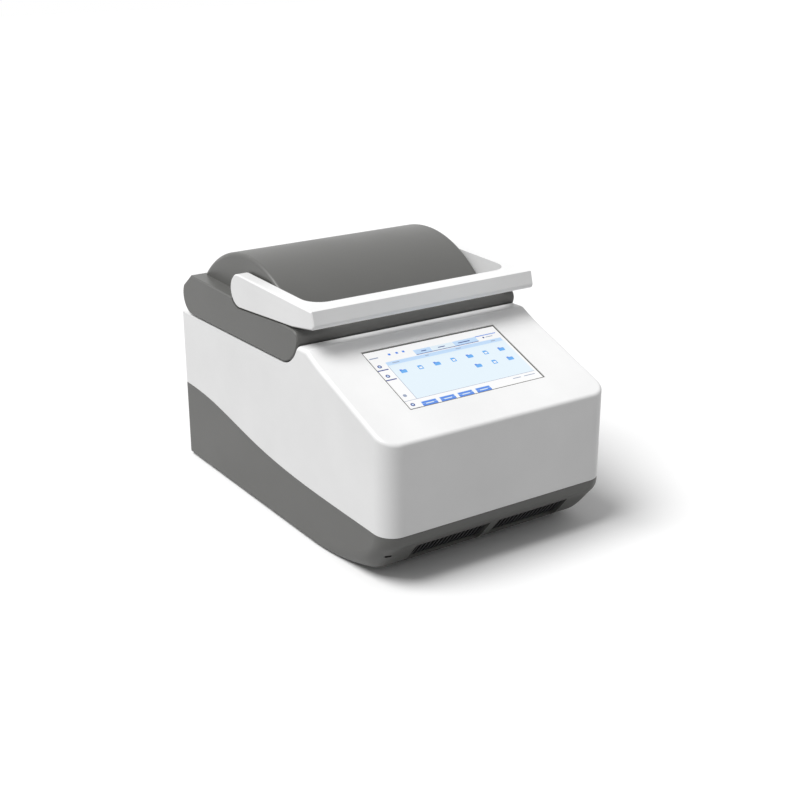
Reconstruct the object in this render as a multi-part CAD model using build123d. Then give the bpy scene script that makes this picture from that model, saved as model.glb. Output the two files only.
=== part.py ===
from build123d import *
import math
import os

# A bench real-time PCR system. Millimetres, +Z up, +Y to the rear, +X to the right seen from the front.
# The origin is under the middle of the instrument, on the surface that its feet rest on.

# Case, measured from its front face and from its underside
body_width = 260
body_depth = 400
foot_height = 3
wall = 3
corner_radius = 19
rim_radius = 4
front_height = 141.4
crest_back = 134
crest_cover = 23.1
crest_lift = 2.3
crest_radius = 5
crest_land_fall = 6
flare_length = 30

# Joint between the grey tray and the white housing
joint_front_height = 50.4
joint_mid_back = 240
joint_mid_height = 62.3
joint_knee_inset = 50
joint_knee_height = 80.5
joint_rear_height = 83.4
joint_front_rise = 0.04
joint_rear_rise = 0.02
joint_gap = 0.4
tongue_height = 5
tongue_thickness = 1.6
tongue_clearance = 0.25

# Undercut chin with its two air inlets and the finger relief between the front feet
chin_depth = 56
chin_exit_angle = 15
chin_upper_back = 8.5
chin_upper_height = 33.5
chin_lower_back = 31
chin_lower_height = 8.6
inlet_half_width = 90
inlet_web = 10
grille_thickness = 2.4
grille_flange = 4
grille_clearance = 0.2
grille_pitch = 5
grille_bar = 2.2
relief_height = 6
relief_half_width = 96
relief_run_out = 100
lock_slot_height = 27.7
lock_slot_angle = 23
lock_slot_length = 7
lock_slot_width = 3

# Lid: a slab with a rounded nose that turns about an axis near its rear edge
hinge_inset = 22.5
hinge_height = 186
lid_rear_radius = 19.8
lid_rear_thickness = 44.5
lid_rear_top_angle = 32
lid_corner_overhang = 2
lid_underside_rise = 4.2
lid_front_thickness = 37
nose_back = 149.5
nose_radius = 35
nose_top_radius = 9
lid_gap = 1.4
lid_wall = 3
lid_side_edge = 1.2

# Hood over the optics, an arch across the lid
hood_half_width = 114
hood_to_hinge = 97.5
hood_rise = 41.5
hood_half_chord = 95
hood_end_radius = 4

# Lid handle: two side arms and a front bar
arm_outset = 0.6
arm_thickness = 12.6
arm_end_radius = 17.3
arm_end_low_angle = -94
pivot_to_hinge = 110.7
pivot_above_lid = 8
bar_back = 123.1
bar_top_below_pivot_end = 2.7
bar_height = 16.7
bar_lean = 4.7
bar_depth = 20
bar_edge_radius = 4.3
bar_inner_radius = 20
arm_knee_back = 160
arm_knee_below_pivot = 9.1
pocket_gap = 0.8
pocket_wall = 2.5

# Stub shafts, bushes and cams of the handle
shaft_radius = 5
running_clearance = 0.05
bush_radius = 8
bush_flange_radius = 9.4
bush_flange_thickness = 2.2
bush_seat_gap = 0.1
shaft_end_room = 0.4
side_clearance = 0.3
cam_x = 99
cam_width = 9
cam_base_radius = 7
cam_lobe_radius = 3
cam_lobe_reach = 9
cam_gap = 0.65
follower_width = 10
follower_margin = 2

# Screen on the slope
screen_back = 77.8
screen_width = 157.5
screen_height = 88.7
screen_corner_radius = 1
gasket_thickness = 1.2
gasket_recess = 0.3
glass_margin = 5
glass_thickness = 1.8
panel_thickness = 6
panel_margin = 3
panel_rim_thickness = 3.6
screen_seat_gap = 0.2
display_board_thickness = 1.6
display_board_gap = 5
display_board_width = 126
display_board_height = 75.4
display_spacer_radius = 2.5
display_chip = 24
display_chip_height = 2.5
display_chip_up = 8

# Sample block and what lies under it
well_pitch = 9
well_columns = 8
well_rows = 6
well_mouth_radius = 3.15
well_tip_radius = 1.3
well_depth = 13
block_margin = 5.7
block_height = 15
block_corner = 2
block_recess = 5
block_clearance = 0.6
collar_wall = 14
collar_clearance = 0.4
collar_recess = 0.4
collar_slope_drop = 4.6
collar_slope_run = 5.6
peltier_size = 36
peltier_thickness = 4
sink_width = 118
sink_length = 104
sink_base = 8
fin_height = 40
fin_thickness = 1.6
fin_pitch = 5.9
sink_flange = 8
stack_gap = 0.3
fan_size = 118
fan_depth = 25
fan_bore_radius = 56
fan_hub_radius = 20
fan_blade_margin = 3
chassis_thickness = 2
chassis_foot = 14
chassis_windows = 3
chassis_window = 28
chassis_window_margin = 12

# Exhaust fans and the vents in the rear wall
exhaust_size = 60
exhaust_depth = 15
exhaust_bore_radius = 28.5
exhaust_hub_radius = 11
exhaust_x = 50
exhaust_height = 124
vent_slot = 2.6
vent_pitch = 5
blade_count = 7
blade_thickness = 1.4
blade_gap = 1.6
blade_pitch = 38
blade_root = 2
spoke_overlap = 3
cooling_spoke = 3
exhaust_spoke = 2
rotor_gap = 0.4
rotor_set_back = 1.6

# Rear panel with its inlet, switch and sockets
panel_half_width = 96
panel_low = 14
panel_high = 70
panel_recess = 6
panel_plate = 2
inlet_x = 62
switch_x = 20
sockets_x = -30
panel_row_height = 42
switch_throw = 16

# Boards and power supply on the floor
board_thickness = 1.6
standoff_height = 8
standoff_radius = 3.5
standoff_inset = 7
supply_width = 44
supply_length = 150
supply_height = 48
supply_x = 98
supply_back = 270
main_board_width = 150
main_board_length = 84
main_board_back = 128
side_board_width = 40
side_board_length = 150
side_board_back = 270

# Components on the boards
processor_x = -10
processor_size = 28
processor_height = 3
memory_x = 30
memory_width = 14
memory_length = 20
memory_height = 2.5
header_count = 4
header_first_x = -58
header_pitch = 13
header_offset = 32
header_width = 11
header_length = 9
header_height = 8
capacitor_radius = 5
capacitor_height = 14
capacitor_offset = 30
driver_count = 5
driver_pitch = 24
coil_offset = 9
coil_width = 14
coil_length = 16
coil_height = 12
driver_offset = 10
driver_width = 10
driver_length = 14
driver_height = 7
supply_end = 10
supply_vent_margin = 6
supply_vent_depth = 3

# Feet, posts and screws
foot_radius = 10
foot_inset_x = 34
foot_front_back = 98
foot_rear_inset = 36
foot_seat = 1.2
post_radius = 5.5
post_inset = 15
post_front_back = 84
post_rear_inset = 17
post_joint_height = 46
post_gap = 0.3
screw_radius = 1.7
screw_head_radius = 3.2
screw_head_height = 2.4
screw_shank_radius = 1.3
thread_hole_radius = 1.4
head_clearance = 0.3
screw_end_room = 2
post_screw_depth = 16

# Hinge of the lid
hinge_x = 72
ear_thickness = 9
ear_radius = 8.5
lug_thickness = 7
lug_gap = 0.5
pin_radius = 3
pin_end = 1.2
bracket_length = 26
bracket_width = 34
bracket_thickness = 4
ear_slot_clearance = 0.6

# Lid base, heated plate and its carrier
base_plate_thickness = 2.5
base_plate_clearance = 0.3
plate_height = 6
plate_rest_gap = 0.8
plate_clearance = 0.6
plate_edge = 0.6
heater_inset = 1
heater_rim = 0.6
carrier_rim = 1
window_radius = 1.8
heater_thickness = 0.8
carrier_height = 4
carrier_lift = 6
carrier_margin = 9
carrier_travel = 3
guide_radius = 2
guide_clearance = 0.08
spring_strip = 0.6
spring_width = 7
lid_post_radius = 4
lid_post_inset = 6
lid_post_front_inset = 12
lid_post_rear_inset = 8
lid_screw_set_back = 0.2
optics_post_radius = 3
optics_post_inset = 5
optics_post_shift = 2

# Scanning optics in the hood
optics_plate_height = 15
optics_plate_thickness = 2.5
optics_plate_half_width = 86
rail_radius = 3
rail_spacing = 72
rail_height = 11
rail_block = 9
carriage_width = 46
carriage_height = 20
lens_radius = 3.4
lens_length = 8
motor_size = 28
motor_height = 18
belt_offset = 19
belt_x = 70
pulley_radius = 6.4
pulley_height = 8
belt_thickness = 1.4
belt_width = 6
axle_radius = 2
idler_shoulder = 2
carriage_below_rail = 3
carriage_edge = 2
belt_tab_half_width = 8
detector_margin_x = 4
detector_margin_y = 3
detector_chip_half_width = 9
detector_chip_half_length = 14
detector_chip_height = 3
motor_corner = 3
pulley_flange = 2
pulley_flange_thickness = 0.8

# Parts set in the rear panel
inlet_width = 27
inlet_height = 20
inlet_depth = 16
inlet_wall = 1.4
inlet_corner = 4
inlet_cavity = 13
inlet_pin_spacing = 7
inlet_pin_set_back = 4.5
insert_rim = 2
switch_width = 15
switch_height = 22
switch_depth = 12
rocker_dish = 3.6
socket_depth = 14
inlet_pin_thickness = 2
inlet_pin_height = 4
inlet_pin_rise = 2
ear_margin = 1
rocker_base = 5
rocker_base_share = 0.55
rocker_corner = 0.6
rocker_hollow = 1.2
trunnion_radius = 1.2
trunnion_reach = 0.15
shell_thickness = 1
tongue_width_inset = 2
tongue_depth = 3
tongue_low = 2.2
tongue_high = 0.9
panel_vents = 5
panel_vent_length = 24

# Seats of the lid base in the cover
base_front_inset = 8
base_rear_inset = 15
knuckle_inset = 17

# Flat sides of small posts, screws and wells that repeat
small_sides = 6
well_sides = 8

# How far outlines run on past the case before they are cut off
run_below = 60
run_past = 20

# Worked out from the values above
half_width = body_width / 2
hinge_back = body_depth - hinge_inset
lid_low_rear = hinge_height - lid_rear_radius
lid_low_front = lid_low_rear + lid_underside_rise
lid_top_front = lid_low_front + lid_front_thickness
lid_top_rear = lid_low_rear + lid_rear_thickness
crest_height = lid_low_front + crest_cover
slope = (crest_height - crest_lift - front_height) / crest_back
slope_angle = math.degrees(math.atan(slope))
deck_rear = lid_low_rear - lid_gap
pivot_back = hinge_back - pivot_to_hinge
pivot_height = lid_top_rear + pivot_above_lid
arm_outer = half_width - arm_outset
arm_inner = arm_outer - arm_thickness
bay_back = hinge_back - hood_to_hinge
block_width = (well_columns - 1) * well_pitch + 2 * block_margin
block_length = (well_rows - 1) * well_pitch + 2 * block_margin
sockets = [(sockets_x, 16, 13.5), (sockets_x + 22, 12, 11), (sockets_x - 22, 14.5, 7.5)]
supply_place = (supply_x, supply_back, supply_width, supply_length)
boards = [
    (0, main_board_back, main_board_width, main_board_length),
    (-supply_x, side_board_back, side_board_width, side_board_length),
]
nose_centre_drop = lid_low_front + nose_radius - lid_top_front + nose_top_radius
nose_centre_run = math.sqrt((nose_radius - nose_top_radius) ** 2 - nose_centre_drop**2)
nose_centre_back = nose_back + nose_top_radius + nose_centre_run


def back(distance):
    """Y of a place at this distance behind the front face."""
    return distance - body_depth / 2


def up(height):
    """Z of a place at this height above the underside."""
    return height + foot_height


def side(distance, height):
    """Point of a side outline, whose axes are Y and Z."""
    return (back(distance), up(height))


def on_circle(centre, radius, turn):
    """Point of a side view at a turn on a circle."""
    return (centre[0] + radius * math.cos(turn), centre[1] + radius * math.sin(turn))


def lid_low(distance):
    """Height of the lid's sloping underside."""
    share = (distance - nose_centre_back) / (hinge_back - nose_centre_back)
    return lid_low_front + (lid_low_rear - lid_low_front) * share


def lid_top(distance):
    """Height of the lid slab's sloping top."""
    front = nose_back + nose_top_radius
    rear = hinge_back - lid_corner_overhang
    return lid_top_front + (lid_top_rear - lid_top_front) * (distance - front) / (rear - front)


bay_rear_deck = lid_low(bay_back + block_length / 2 + collar_wall) - lid_gap
collar_top = bay_rear_deck - collar_recess
block_top = collar_top - block_recess
block_low = block_top - block_height
sink_top = block_low - peltier_thickness
sink_low = sink_top - sink_base - fin_height
fan_low = sink_low - stack_gap - fan_depth
base_plate_top = lid_low(bay_back) + base_plate_thickness
plate_low = collar_top + plate_rest_gap
carrier_low = base_plate_top + carrier_lift
guide_top = carrier_low + carrier_height + carrier_travel + 1
rail_z = base_plate_top + optics_plate_height + optics_plate_thickness + rail_height
optics_z = base_plate_top + optics_plate_height
belt_back = bay_back + rail_spacing / 2 + belt_offset
pulley_low = rail_z - rail_radius + carriage_height - pulley_height
pulley_top = pulley_low + pulley_height + 1
carriage_low = rail_z - rail_radius - carriage_below_rail
carriage_top = carriage_low + carriage_height


def prism(face, half):
    """Solid across the instrument from a side outline, to this half width."""
    return extrude(Plane.YZ * face, half, both=True)


def slab_between(face, low_x, high_x):
    """Solid from a side outline between two places across the instrument."""
    return Pos(low_x, 0, 0) * extrude(Plane.YZ * face, high_x - low_x)


def box(low_x, high_x, low_back, high_back, low_height, high_height):
    """Box between limits given across, from the front face and above the underside."""
    size = (high_x - low_x, high_back - low_back, high_height - low_height)
    centre = (
        (low_x + high_x) / 2,
        back((low_back + high_back) / 2),
        up((low_height + high_height) / 2),
    )
    return Pos(*centre) * Box(*size)


def bay_box(half_x, half_y, low, high):
    """Box centred on the sample block, given by its half width, half length and heights."""
    return box(-half_x, half_x, bay_back - half_y, bay_back + half_y, low, high)


def upright(radius, height, x, distance, low):
    """Upright cylinder standing at this height above the underside."""
    align = (Align.CENTER, Align.CENTER, Align.MIN)
    return Pos(x, back(distance), up(low)) * Cylinder(radius, height, align=align)


def faceted(radius, height, x, distance, low):
    """Upright post, hole or pin with a few flat sides, for small things that repeat."""
    outline = Rot(0, 0, 180 / small_sides) * RegularPolygon(radius, small_sides)
    return Pos(x, back(distance), up(low)) * extrude(outline, height)


def across(radius, low_x, high_x, distance, height):
    """Cylinder along X between two places across the instrument."""
    middle = Pos((low_x + high_x) / 2, back(distance), up(height))
    return middle * Rot(0, 90, 0) * Cylinder(radius, high_x - low_x)


def one(shape):
    """The largest solid of a result that should be one piece."""
    return shape.solids().sort_by(SortBy.VOLUME)[-1]


def between(way, near, far):
    """Limits across the instrument on its left (way -1) or right (way 1), the lower first."""
    return sorted((way * near, way * far))


def well_places():
    """Middle of each well as X and Y."""
    first_x = -(well_columns - 1) / 2 * well_pitch
    first_y = back(bay_back) - (well_rows - 1) / 2 * well_pitch
    return [
        (first_x + column * well_pitch, first_y + row * well_pitch)
        for column in range(well_columns)
        for row in range(well_rows)
    ]


def both_sides(shape):
    """The shape and its mirror image on the other side of the instrument."""
    return shape + mirror(shape, Plane.YZ)


# Outlines of the lid and the case


def lid_face(grow=0):
    """Side outline of the lid slab, grown all round by a clearance or shrunk by a wall."""
    centre_up = lid_low_front + nose_radius
    small = (nose_back + nose_top_radius, lid_top_front - nose_top_radius)
    reach = nose_radius / (nose_radius - nose_top_radius)
    blend = (
        nose_centre_back - (nose_centre_back - small[0]) * reach,
        centre_up - (centre_up - small[1]) * reach,
    )
    down = math.radians(270)
    blend_turn = math.atan2(blend[1] - centre_up, blend[0] - nose_centre_back) % math.radians(360)
    nose_mid = on_circle((nose_centre_back, centre_up), nose_radius, (blend_turn + down) / 2)
    hinge = (hinge_back, hinge_height)
    rear_high = on_circle(hinge, lid_rear_radius, math.radians(lid_rear_top_angle))
    rear_mid = on_circle(hinge, lid_rear_radius, math.radians((lid_rear_top_angle - 90) / 2))
    low_front = side(nose_centre_back, lid_low_front)
    low_rear = side(hinge_back, lid_low_rear)
    corner = side(hinge_back - lid_corner_overhang, lid_top_rear)
    top_front = side(small[0], lid_top_front)
    small_turn = math.atan2(blend[1] - small[1], blend[0] - small[0]) % math.radians(360)
    small_mid = on_circle(small, nose_top_radius, (small_turn + math.radians(90)) / 2)
    outline = make_face(
        [
            ThreePointArc(low_front, side(*nose_mid), side(*blend)),
            ThreePointArc(side(*blend), side(*small_mid), top_front),
            Line(top_front, corner),
            Line(corner, side(*rear_high)),
            ThreePointArc(side(*rear_high), side(*rear_mid), low_rear),
            Line(low_rear, low_front),
        ]
    )
    if grow:
        return offset(outline, grow)
    return outline


def hood_face(inset=0):
    """Side outline of the hood: a circular arch that runs down into the lid slab."""
    foot = lid_top(bay_back)
    radius = (hood_half_chord**2 + hood_rise**2) / (2 * hood_rise)
    low = lid_low(bay_back) + lid_front_thickness / 2
    drop = foot + hood_rise - radius
    half = math.sqrt(radius**2 - (low - drop) ** 2) if low > drop else radius
    half = min(half, hood_half_chord) - inset
    foot_side = drop + math.sqrt((radius - inset) ** 2 - half**2)
    return make_face(
        [
            Line(side(bay_back + half, low), side(bay_back - half, low)),
            Line(side(bay_back - half, low), side(bay_back - half, foot_side)),
            ThreePointArc(
                side(bay_back - half, foot_side),
                side(bay_back, foot + hood_rise - inset),
                side(bay_back + half, foot_side),
            ),
            Line(side(bay_back + half, foot_side), side(bay_back + half, low)),
        ]
    )


def arm_face(grow=0):
    """Side outline of a handle arm with the front bar's end."""
    bar_top = pivot_height + arm_end_radius - bar_top_below_pivot_end
    bar_low = bar_top - bar_height
    bar_high = side(bar_back, bar_top)
    bar_foot = side(bar_back - bar_lean, bar_low)
    knee = side(arm_knee_back, pivot_height - arm_knee_below_pivot)
    end_high = side(pivot_back, pivot_height + arm_end_radius)
    end_rear = side(pivot_back + arm_end_radius, pivot_height)
    end_low = side(*on_circle((pivot_back, pivot_height), arm_end_radius, math.radians(arm_end_low_angle)))
    outline = make_face(
        [
            Line(bar_high, end_high),
            ThreePointArc(end_high, end_rear, end_low),
            Line(end_low, knee),
            Line(knee, bar_foot),
            Line(bar_foot, bar_high),
        ]
    )
    for corner, radius in ((bar_foot, bar_edge_radius), (knee, arm_end_radius)):
        nearest = outline.vertices().sort_by_distance(Vector(*corner))[0]
        outline = fillet(nearest, radius)
    if grow:
        return offset(outline, grow)
    return outline


def moved_in(point, before, after, inset):
    """Side point moved into the case, square to the line between its neighbours."""
    run = after[0] - before[0]
    rise = after[1] - before[1]
    length = math.hypot(run, rise)
    return side(point[0] + inset * rise / length, point[1] - inset * run / length)


def case_outline(inset=0):
    """Side outline of the closed case before the lid's place is cut, set in by a wall."""
    leave = math.radians(chin_exit_angle)
    drop = inset / math.cos(math.radians(slope_angle))
    flare_back = crest_back - flare_length
    front = side(inset, joint_front_height)
    front_top = side(inset, front_height + slope * inset - drop)
    flare = side(flare_back, front_height + slope * flare_back - drop)
    crest = side(crest_back, crest_height - drop)
    rear_top = side(body_depth - inset, crest_height - crest_land_fall - drop)
    rear_low = side(body_depth - inset, -run_below)
    run_back = chin_depth + run_below / math.tan(leave)
    run_low = side(run_back + inset * math.sin(leave), -run_below + inset * math.cos(leave))
    chin_end = side(chin_depth + inset * math.sin(leave), inset * math.cos(leave))
    chin_lower = (chin_lower_back, chin_lower_height)
    chin_upper = (chin_upper_back, chin_upper_height)
    chin = Spline(
        [
            chin_end,
            moved_in(chin_lower, (chin_depth, 0), chin_upper, inset),
            moved_in(chin_upper, chin_lower, (0, joint_front_height), inset),
            front,
        ],
        tangents=[(-math.cos(leave), math.sin(leave)), (0, 1)],
    )
    outline = Sketch() + make_face(
        [
            Line(front, front_top),
            Line(front_top, flare),
            TangentArc(flare, crest, tangent=(1, slope)),
            Line(crest, rear_top),
            Line(rear_top, rear_low),
            Line(rear_low, run_low),
            Line(run_low, chin_end),
            chin,
        ]
    )
    top = outline.vertices().sort_by_distance(Vector(*crest))[0]
    return fillet(top, crest_radius)


def case_blank(inset=0, low=0):
    """The closed case envelope before the lid's place is cut, set in by a wall."""
    half = half_width - inset
    solid = one(prism(case_outline(inset), half))
    flat = [edge for edge in solid.edges() if edge.bounding_box().size.X < 0.01]
    chin_run_out = run_below / math.tan(math.radians(chin_exit_angle))
    corners = [
        edge
        for edge in flat
        if edge.center().Y < back(chin_depth + corner_radius + chin_run_out)
        and edge.center().Z < up(front_height - corner_radius)
        and edge.bounding_box().size.Z > corner_radius
    ]
    solid = one(fillet(corners, corner_radius - inset))
    if not inset:
        rim = [
            edge
            for edge in solid.edges()
            if edge.bounding_box().min.Z > up(front_height - 1)
            and edge.bounding_box().min.Y < back(body_depth - 1)
            and (edge.bounding_box().size.X < corner_radius + 1 or edge.bounding_box().max.Y < back(1))
        ]
        solid = one(fillet(rim, rim_radius))
    return solid - box(-body_width, body_width, -body_depth, 2 * body_depth, low - 3 * run_below, low)


def lid_place(grow):
    """What is cut from the case where the lid lies and turns."""
    face = Sketch() + lid_face(grow)
    behind = make_face(
        Polyline(
            side(hinge_back, lid_low_rear - grow),
            side(body_depth + run_past, lid_low_rear - grow),
            side(body_depth + run_past, lid_top_rear + run_past),
            side(hinge_back, lid_top_rear + run_past),
            close=True,
        )
    )
    return prism(face + behind, half_width + run_past)


def joint_region(shift, above):
    """Everything below or above the joint between tray and housing, moved up by a shift."""
    curve = Spline(
        [
            side(-run_past, joint_front_height + shift),
            side(joint_mid_back, joint_mid_height + shift),
            side(body_depth - joint_knee_inset, joint_knee_height + shift),
            side(body_depth + run_past, joint_rear_height + shift),
        ],
        tangents=[(1, joint_front_rise), (1, joint_rear_rise)],
    )
    far = up(body_depth) if above else -run_below
    low_front = (back(-run_past), far)
    low_rear = (back(body_depth + run_past), far)
    edges = [curve, Line(curve @ 1, low_rear), Line(low_rear, low_front), Line(low_front, curve @ 0)]
    return prism(make_face(edges), half_width + run_past)


def relief(inset=0):
    """Arched finger relief that runs in from the front under the chin."""
    radius = (relief_half_width**2 + relief_height**2) / (2 * relief_height)
    lean = math.degrees(math.atan(relief_height / relief_run_out))
    axis_low = relief_height - radius
    length = 2 * relief_run_out
    cylinder = Rot(90 - lean, 0, 0) * Cylinder(radius + inset, length)
    shifted = Pos(0, back(chin_lower_back), up(axis_low)) * cylinder
    return shifted & box(-half_width, half_width, -run_past, relief_run_out + run_past, -run_past, radius)


def screen_plane(depth=0):
    """Plane of the slope at the middle of the screen, its X across and its Y up the slope."""
    tilt = math.radians(slope_angle)
    place = Vector(0, back(screen_back), up(front_height + slope * screen_back))
    normal = Vector(0, -math.sin(tilt), math.cos(tilt))
    return Plane(origin=place - normal * depth, x_dir=(1, 0, 0), z_dir=normal)


def screen_slab(width, height, depth, thickness, radius=0):
    """Plate parallel to the slope with its upper face at a depth below the slope."""
    outline = RectangleRounded(width, height, radius) if radius else Rectangle(width, height)
    return extrude(screen_plane(depth + thickness) * outline, thickness)


def chin_chord():
    """Place of the chin's chord, with its Y along the chord, and the chord's length."""
    run = chin_lower_back - chin_upper_back
    rise = chin_upper_height - chin_lower_height
    middle_back = (chin_lower_back + chin_upper_back) / 2
    middle_height = (chin_lower_height + chin_upper_height) / 2
    turn = math.degrees(math.atan2(-rise, run))
    return Pos(0, back(middle_back), up(middle_height)) * Rot(turn, 0, 0), math.hypot(run, rise)


def inlet_windows(grow=0):
    """The two air inlets in the chin, as solids square to the chin's chord."""
    chord, length = chin_chord()
    width = inlet_half_width - inlet_web / 2
    result = Part()
    for way in (-1, 1):
        offset_x = way * (inlet_half_width + inlet_web / 2) / 2
        window = Box(width + 2 * grow, length + 2 * grow, 6 * wall + chin_upper_back)
        result += chord * Pos(offset_x, 0, 0) * window
    return result


def lock_slot():
    """Slot for a cable lock in the rounded front corner of the tray."""
    centre_back = chin_upper_back + corner_radius + wall
    centre = Pos(-half_width + corner_radius, back(centre_back), up(lock_slot_height))
    profile = SlotOverall(lock_slot_length, lock_slot_width)
    cutter = extrude(Plane.XZ * profile, corner_radius + 2 * wall)
    return centre * Rot(0, 0, -lock_slot_angle) * cutter


def corner_posts(low, high, radius):
    """The four posts that hold tray and housing together."""
    result = Part()
    for way in (-1, 1):
        for distance in (post_front_back, body_depth - post_rear_inset):
            result += faceted(radius, high - low, way * (half_width - post_inset), distance, low)
    return result


def foot_places():
    """Middle of each foot across and from the front."""
    return [
        (way * (half_width - foot_inset_x), distance)
        for way in (-1, 1)
        for distance in (foot_front_back, body_depth - foot_rear_inset)
    ]


def standoff_places():
    """Places of the standoffs under the two boards and the power supply."""
    places = []
    for middle_x, middle_back, width, length in boards + [supply_place]:
        for x in (-1, 1):
            for distance in (-1, 1):
                place_x = middle_x + x * (width / 2 - standoff_inset)
                places.append((place_x, middle_back + distance * (length / 2 - standoff_inset)))
    return places


def floor_vents():
    """Slots in the floor under the cooling fan."""
    result = Part()
    span = fan_size / 2 - 2 * fan_blade_margin
    count = int(2 * span // (2 * vent_pitch))
    for index in range(count + 1):
        distance = bay_back - span + index * 2 * vent_pitch
        for way in (-1, 1):
            result += box(
                min(way * inlet_web / 2, way * span),
                max(way * inlet_web / 2, way * span),
                distance - vent_slot / 2,
                distance + vent_slot / 2,
                -1,
                wall + 1,
            )
    return result


def make_base_tray():
    """Grey lower shell with the chin, its inlets, the feet's seats and the posts."""
    outer = case_blank() - relief()
    void = case_blank(wall, wall) - relief(wall)
    shell = (outer - void) & joint_region(-joint_gap / 2, False)
    tongue_core = case_blank(wall + tongue_clearance + tongue_thickness, wall)
    below_tongue = joint_region(-joint_gap / 2 - tongue_height, False)
    lip = (case_blank(wall + tongue_clearance, wall) - tongue_core) & joint_region(tongue_height, False)
    lip_root = (case_blank(wall - tongue_clearance, wall) - tongue_core) & joint_region(-joint_gap / 2, False)
    tray = shell + (lip - below_tongue) + (lip_root - below_tongue)
    tray += corner_posts(wall / 2, post_joint_height, post_radius)
    for x, distance in standoff_places():
        tray += faceted(standoff_radius, standoff_height - wall / 2, x, distance, wall / 2)
    pad = foot_radius + wall
    for x, distance in foot_places():
        tray += box(x - pad, x + pad, distance - pad, distance + pad, 0, wall + foot_seat)
    tray += panel_frame()
    tray = tray & (case_blank() - relief())
    tray -= inlet_windows()
    tray -= lock_slot()
    tray -= floor_vents()
    recess_back = body_depth - panel_recess - panel_plate / 4
    tray -= box(-panel_half_width, panel_half_width, recess_back, body_depth + 1, panel_low, panel_high)
    for x, distance in foot_places():
        tray -= upright(foot_radius + joint_gap / 2, foot_seat + 1, x, distance, -1)
    tray -= corner_posts(-1, post_joint_height + 1, screw_radius)
    tray -= corner_posts(-1, screw_head_height, screw_head_radius)
    return one(tray)


def panel_frame():
    """Moulded frame round the recess of the rear panel."""
    outer = box(
        -panel_half_width - wall,
        panel_half_width + wall,
        body_depth - panel_recess,
        body_depth - wall / 2,
        panel_low - wall,
        panel_high + wall,
    )
    inner = box(
        -panel_half_width, panel_half_width, body_depth - 2 * panel_recess, body_depth, panel_low, panel_high
    )
    return outer - inner


def rear_vents():
    """Horizontal slots in the rear wall in front of the exhaust fans."""
    result = Part()
    count = int(2 * exhaust_bore_radius // vent_pitch)
    low = exhaust_height - (count - 1) / 2 * vent_pitch
    for way in (-1, 1):
        for index in range(count):
            height = low + index * vent_pitch
            result += box(
                way * exhaust_x - exhaust_bore_radius,
                way * exhaust_x + exhaust_bore_radius,
                body_depth - 2 * wall,
                body_depth + 1,
                height - vent_slot / 2,
                height + vent_slot / 2,
            )
    return result


def ear_slots(clearance):
    """Openings in the deck for the ears of the hinge brackets."""
    slot = box(
        hinge_x - ear_thickness / 2 - clearance,
        hinge_x + ear_thickness / 2 + clearance,
        hinge_back - ear_radius - clearance,
        hinge_back + ear_radius + clearance,
        deck_rear - 3 * wall,
        hinge_height,
    )
    return both_sides(slot)


def make_upper_housing():
    """White shell: front, screen slope, cradle for the lid's nose, deck and rear wall."""
    place = lid_place(lid_gap)
    outer = (case_blank() - place) & joint_region(joint_gap / 2, True)
    inner = case_blank(wall, wall) - lid_place(lid_gap + wall)
    shell = outer - inner
    posts = corner_posts(post_joint_height + post_gap, crest_height, post_radius) & (case_blank() - place)
    shell += posts
    shell -= screen_slab(screen_width, screen_height, -wall, 3 * wall, screen_corner_radius)
    room = collar_wall + collar_clearance
    shell -= bay_box(block_width / 2 + room, block_length / 2 + room, deck_rear - 3 * wall, crest_height)
    shell -= ear_slots(ear_slot_clearance)
    shell -= rear_vents()
    shell -= corner_posts(post_joint_height, post_joint_height + post_screw_depth, thread_hole_radius)
    return one(shell)


def make_front_grille():
    """Slotted inserts behind the two air inlets of the chin."""
    outer = case_blank(wall + grille_clearance, wall + grille_clearance)
    inner = case_blank(wall + grille_clearance + grille_thickness, wall)
    skin = (outer - inner) & inlet_windows(grille_flange)
    skin -= relief(wall + grille_clearance)
    chord, length = chin_chord()
    slot = Box(grille_pitch - grille_bar, length - 2 * grille_bar, 12 * wall)
    count = int((inlet_half_width - inlet_web / 2 - grille_bar) // grille_pitch)
    for way in (-1, 1):
        for index in range(count):
            x = way * (inlet_web / 2 + grille_bar + (index + 0.5) * grille_pitch)
            skin -= chord * Pos(x, 0, 0) * slot
    return skin


def make_rubber_feet():
    """Four rubber feet in their seats under the tray."""
    feet = Part()
    for x, distance in foot_places():
        feet += upright(foot_radius, foot_height + foot_seat, x, distance, -foot_height)
    low = [edge for edge in feet.edges() if edge.bounding_box().max.Z < 0.01]
    return chamfer(low, foot_height / 3)


def make_case_screws():
    """Screws that pull the housing down on the tray through the posts."""
    shank_top = post_joint_height + post_screw_depth - screw_end_room
    screws = corner_posts(screw_head_height - head_clearance, shank_top, screw_shank_radius)
    screws += corner_posts(head_clearance, screw_head_height - 0.1, screw_head_radius - head_clearance)
    return screws


def make_display_gasket():
    """Dark gasket that lines the opening of the screen."""
    ring = screen_slab(
        screen_width - 2 * screen_seat_gap,
        screen_height - 2 * screen_seat_gap,
        gasket_recess,
        wall - gasket_recess,
        screen_corner_radius,
    )
    inner_width = screen_width - 2 * gasket_thickness
    inner_height = screen_height - 2 * gasket_thickness
    window = screen_slab(inner_width, inner_height, -1, 2 * wall, screen_corner_radius)
    return one(ring - window)


def make_touch_glass():
    """Glass of the touch screen, under the housing's opening."""
    return screen_slab(
        screen_width + 2 * glass_margin,
        screen_height + 2 * glass_margin,
        wall + screen_seat_gap,
        glass_thickness,
        2 * screen_corner_radius,
    )


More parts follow.
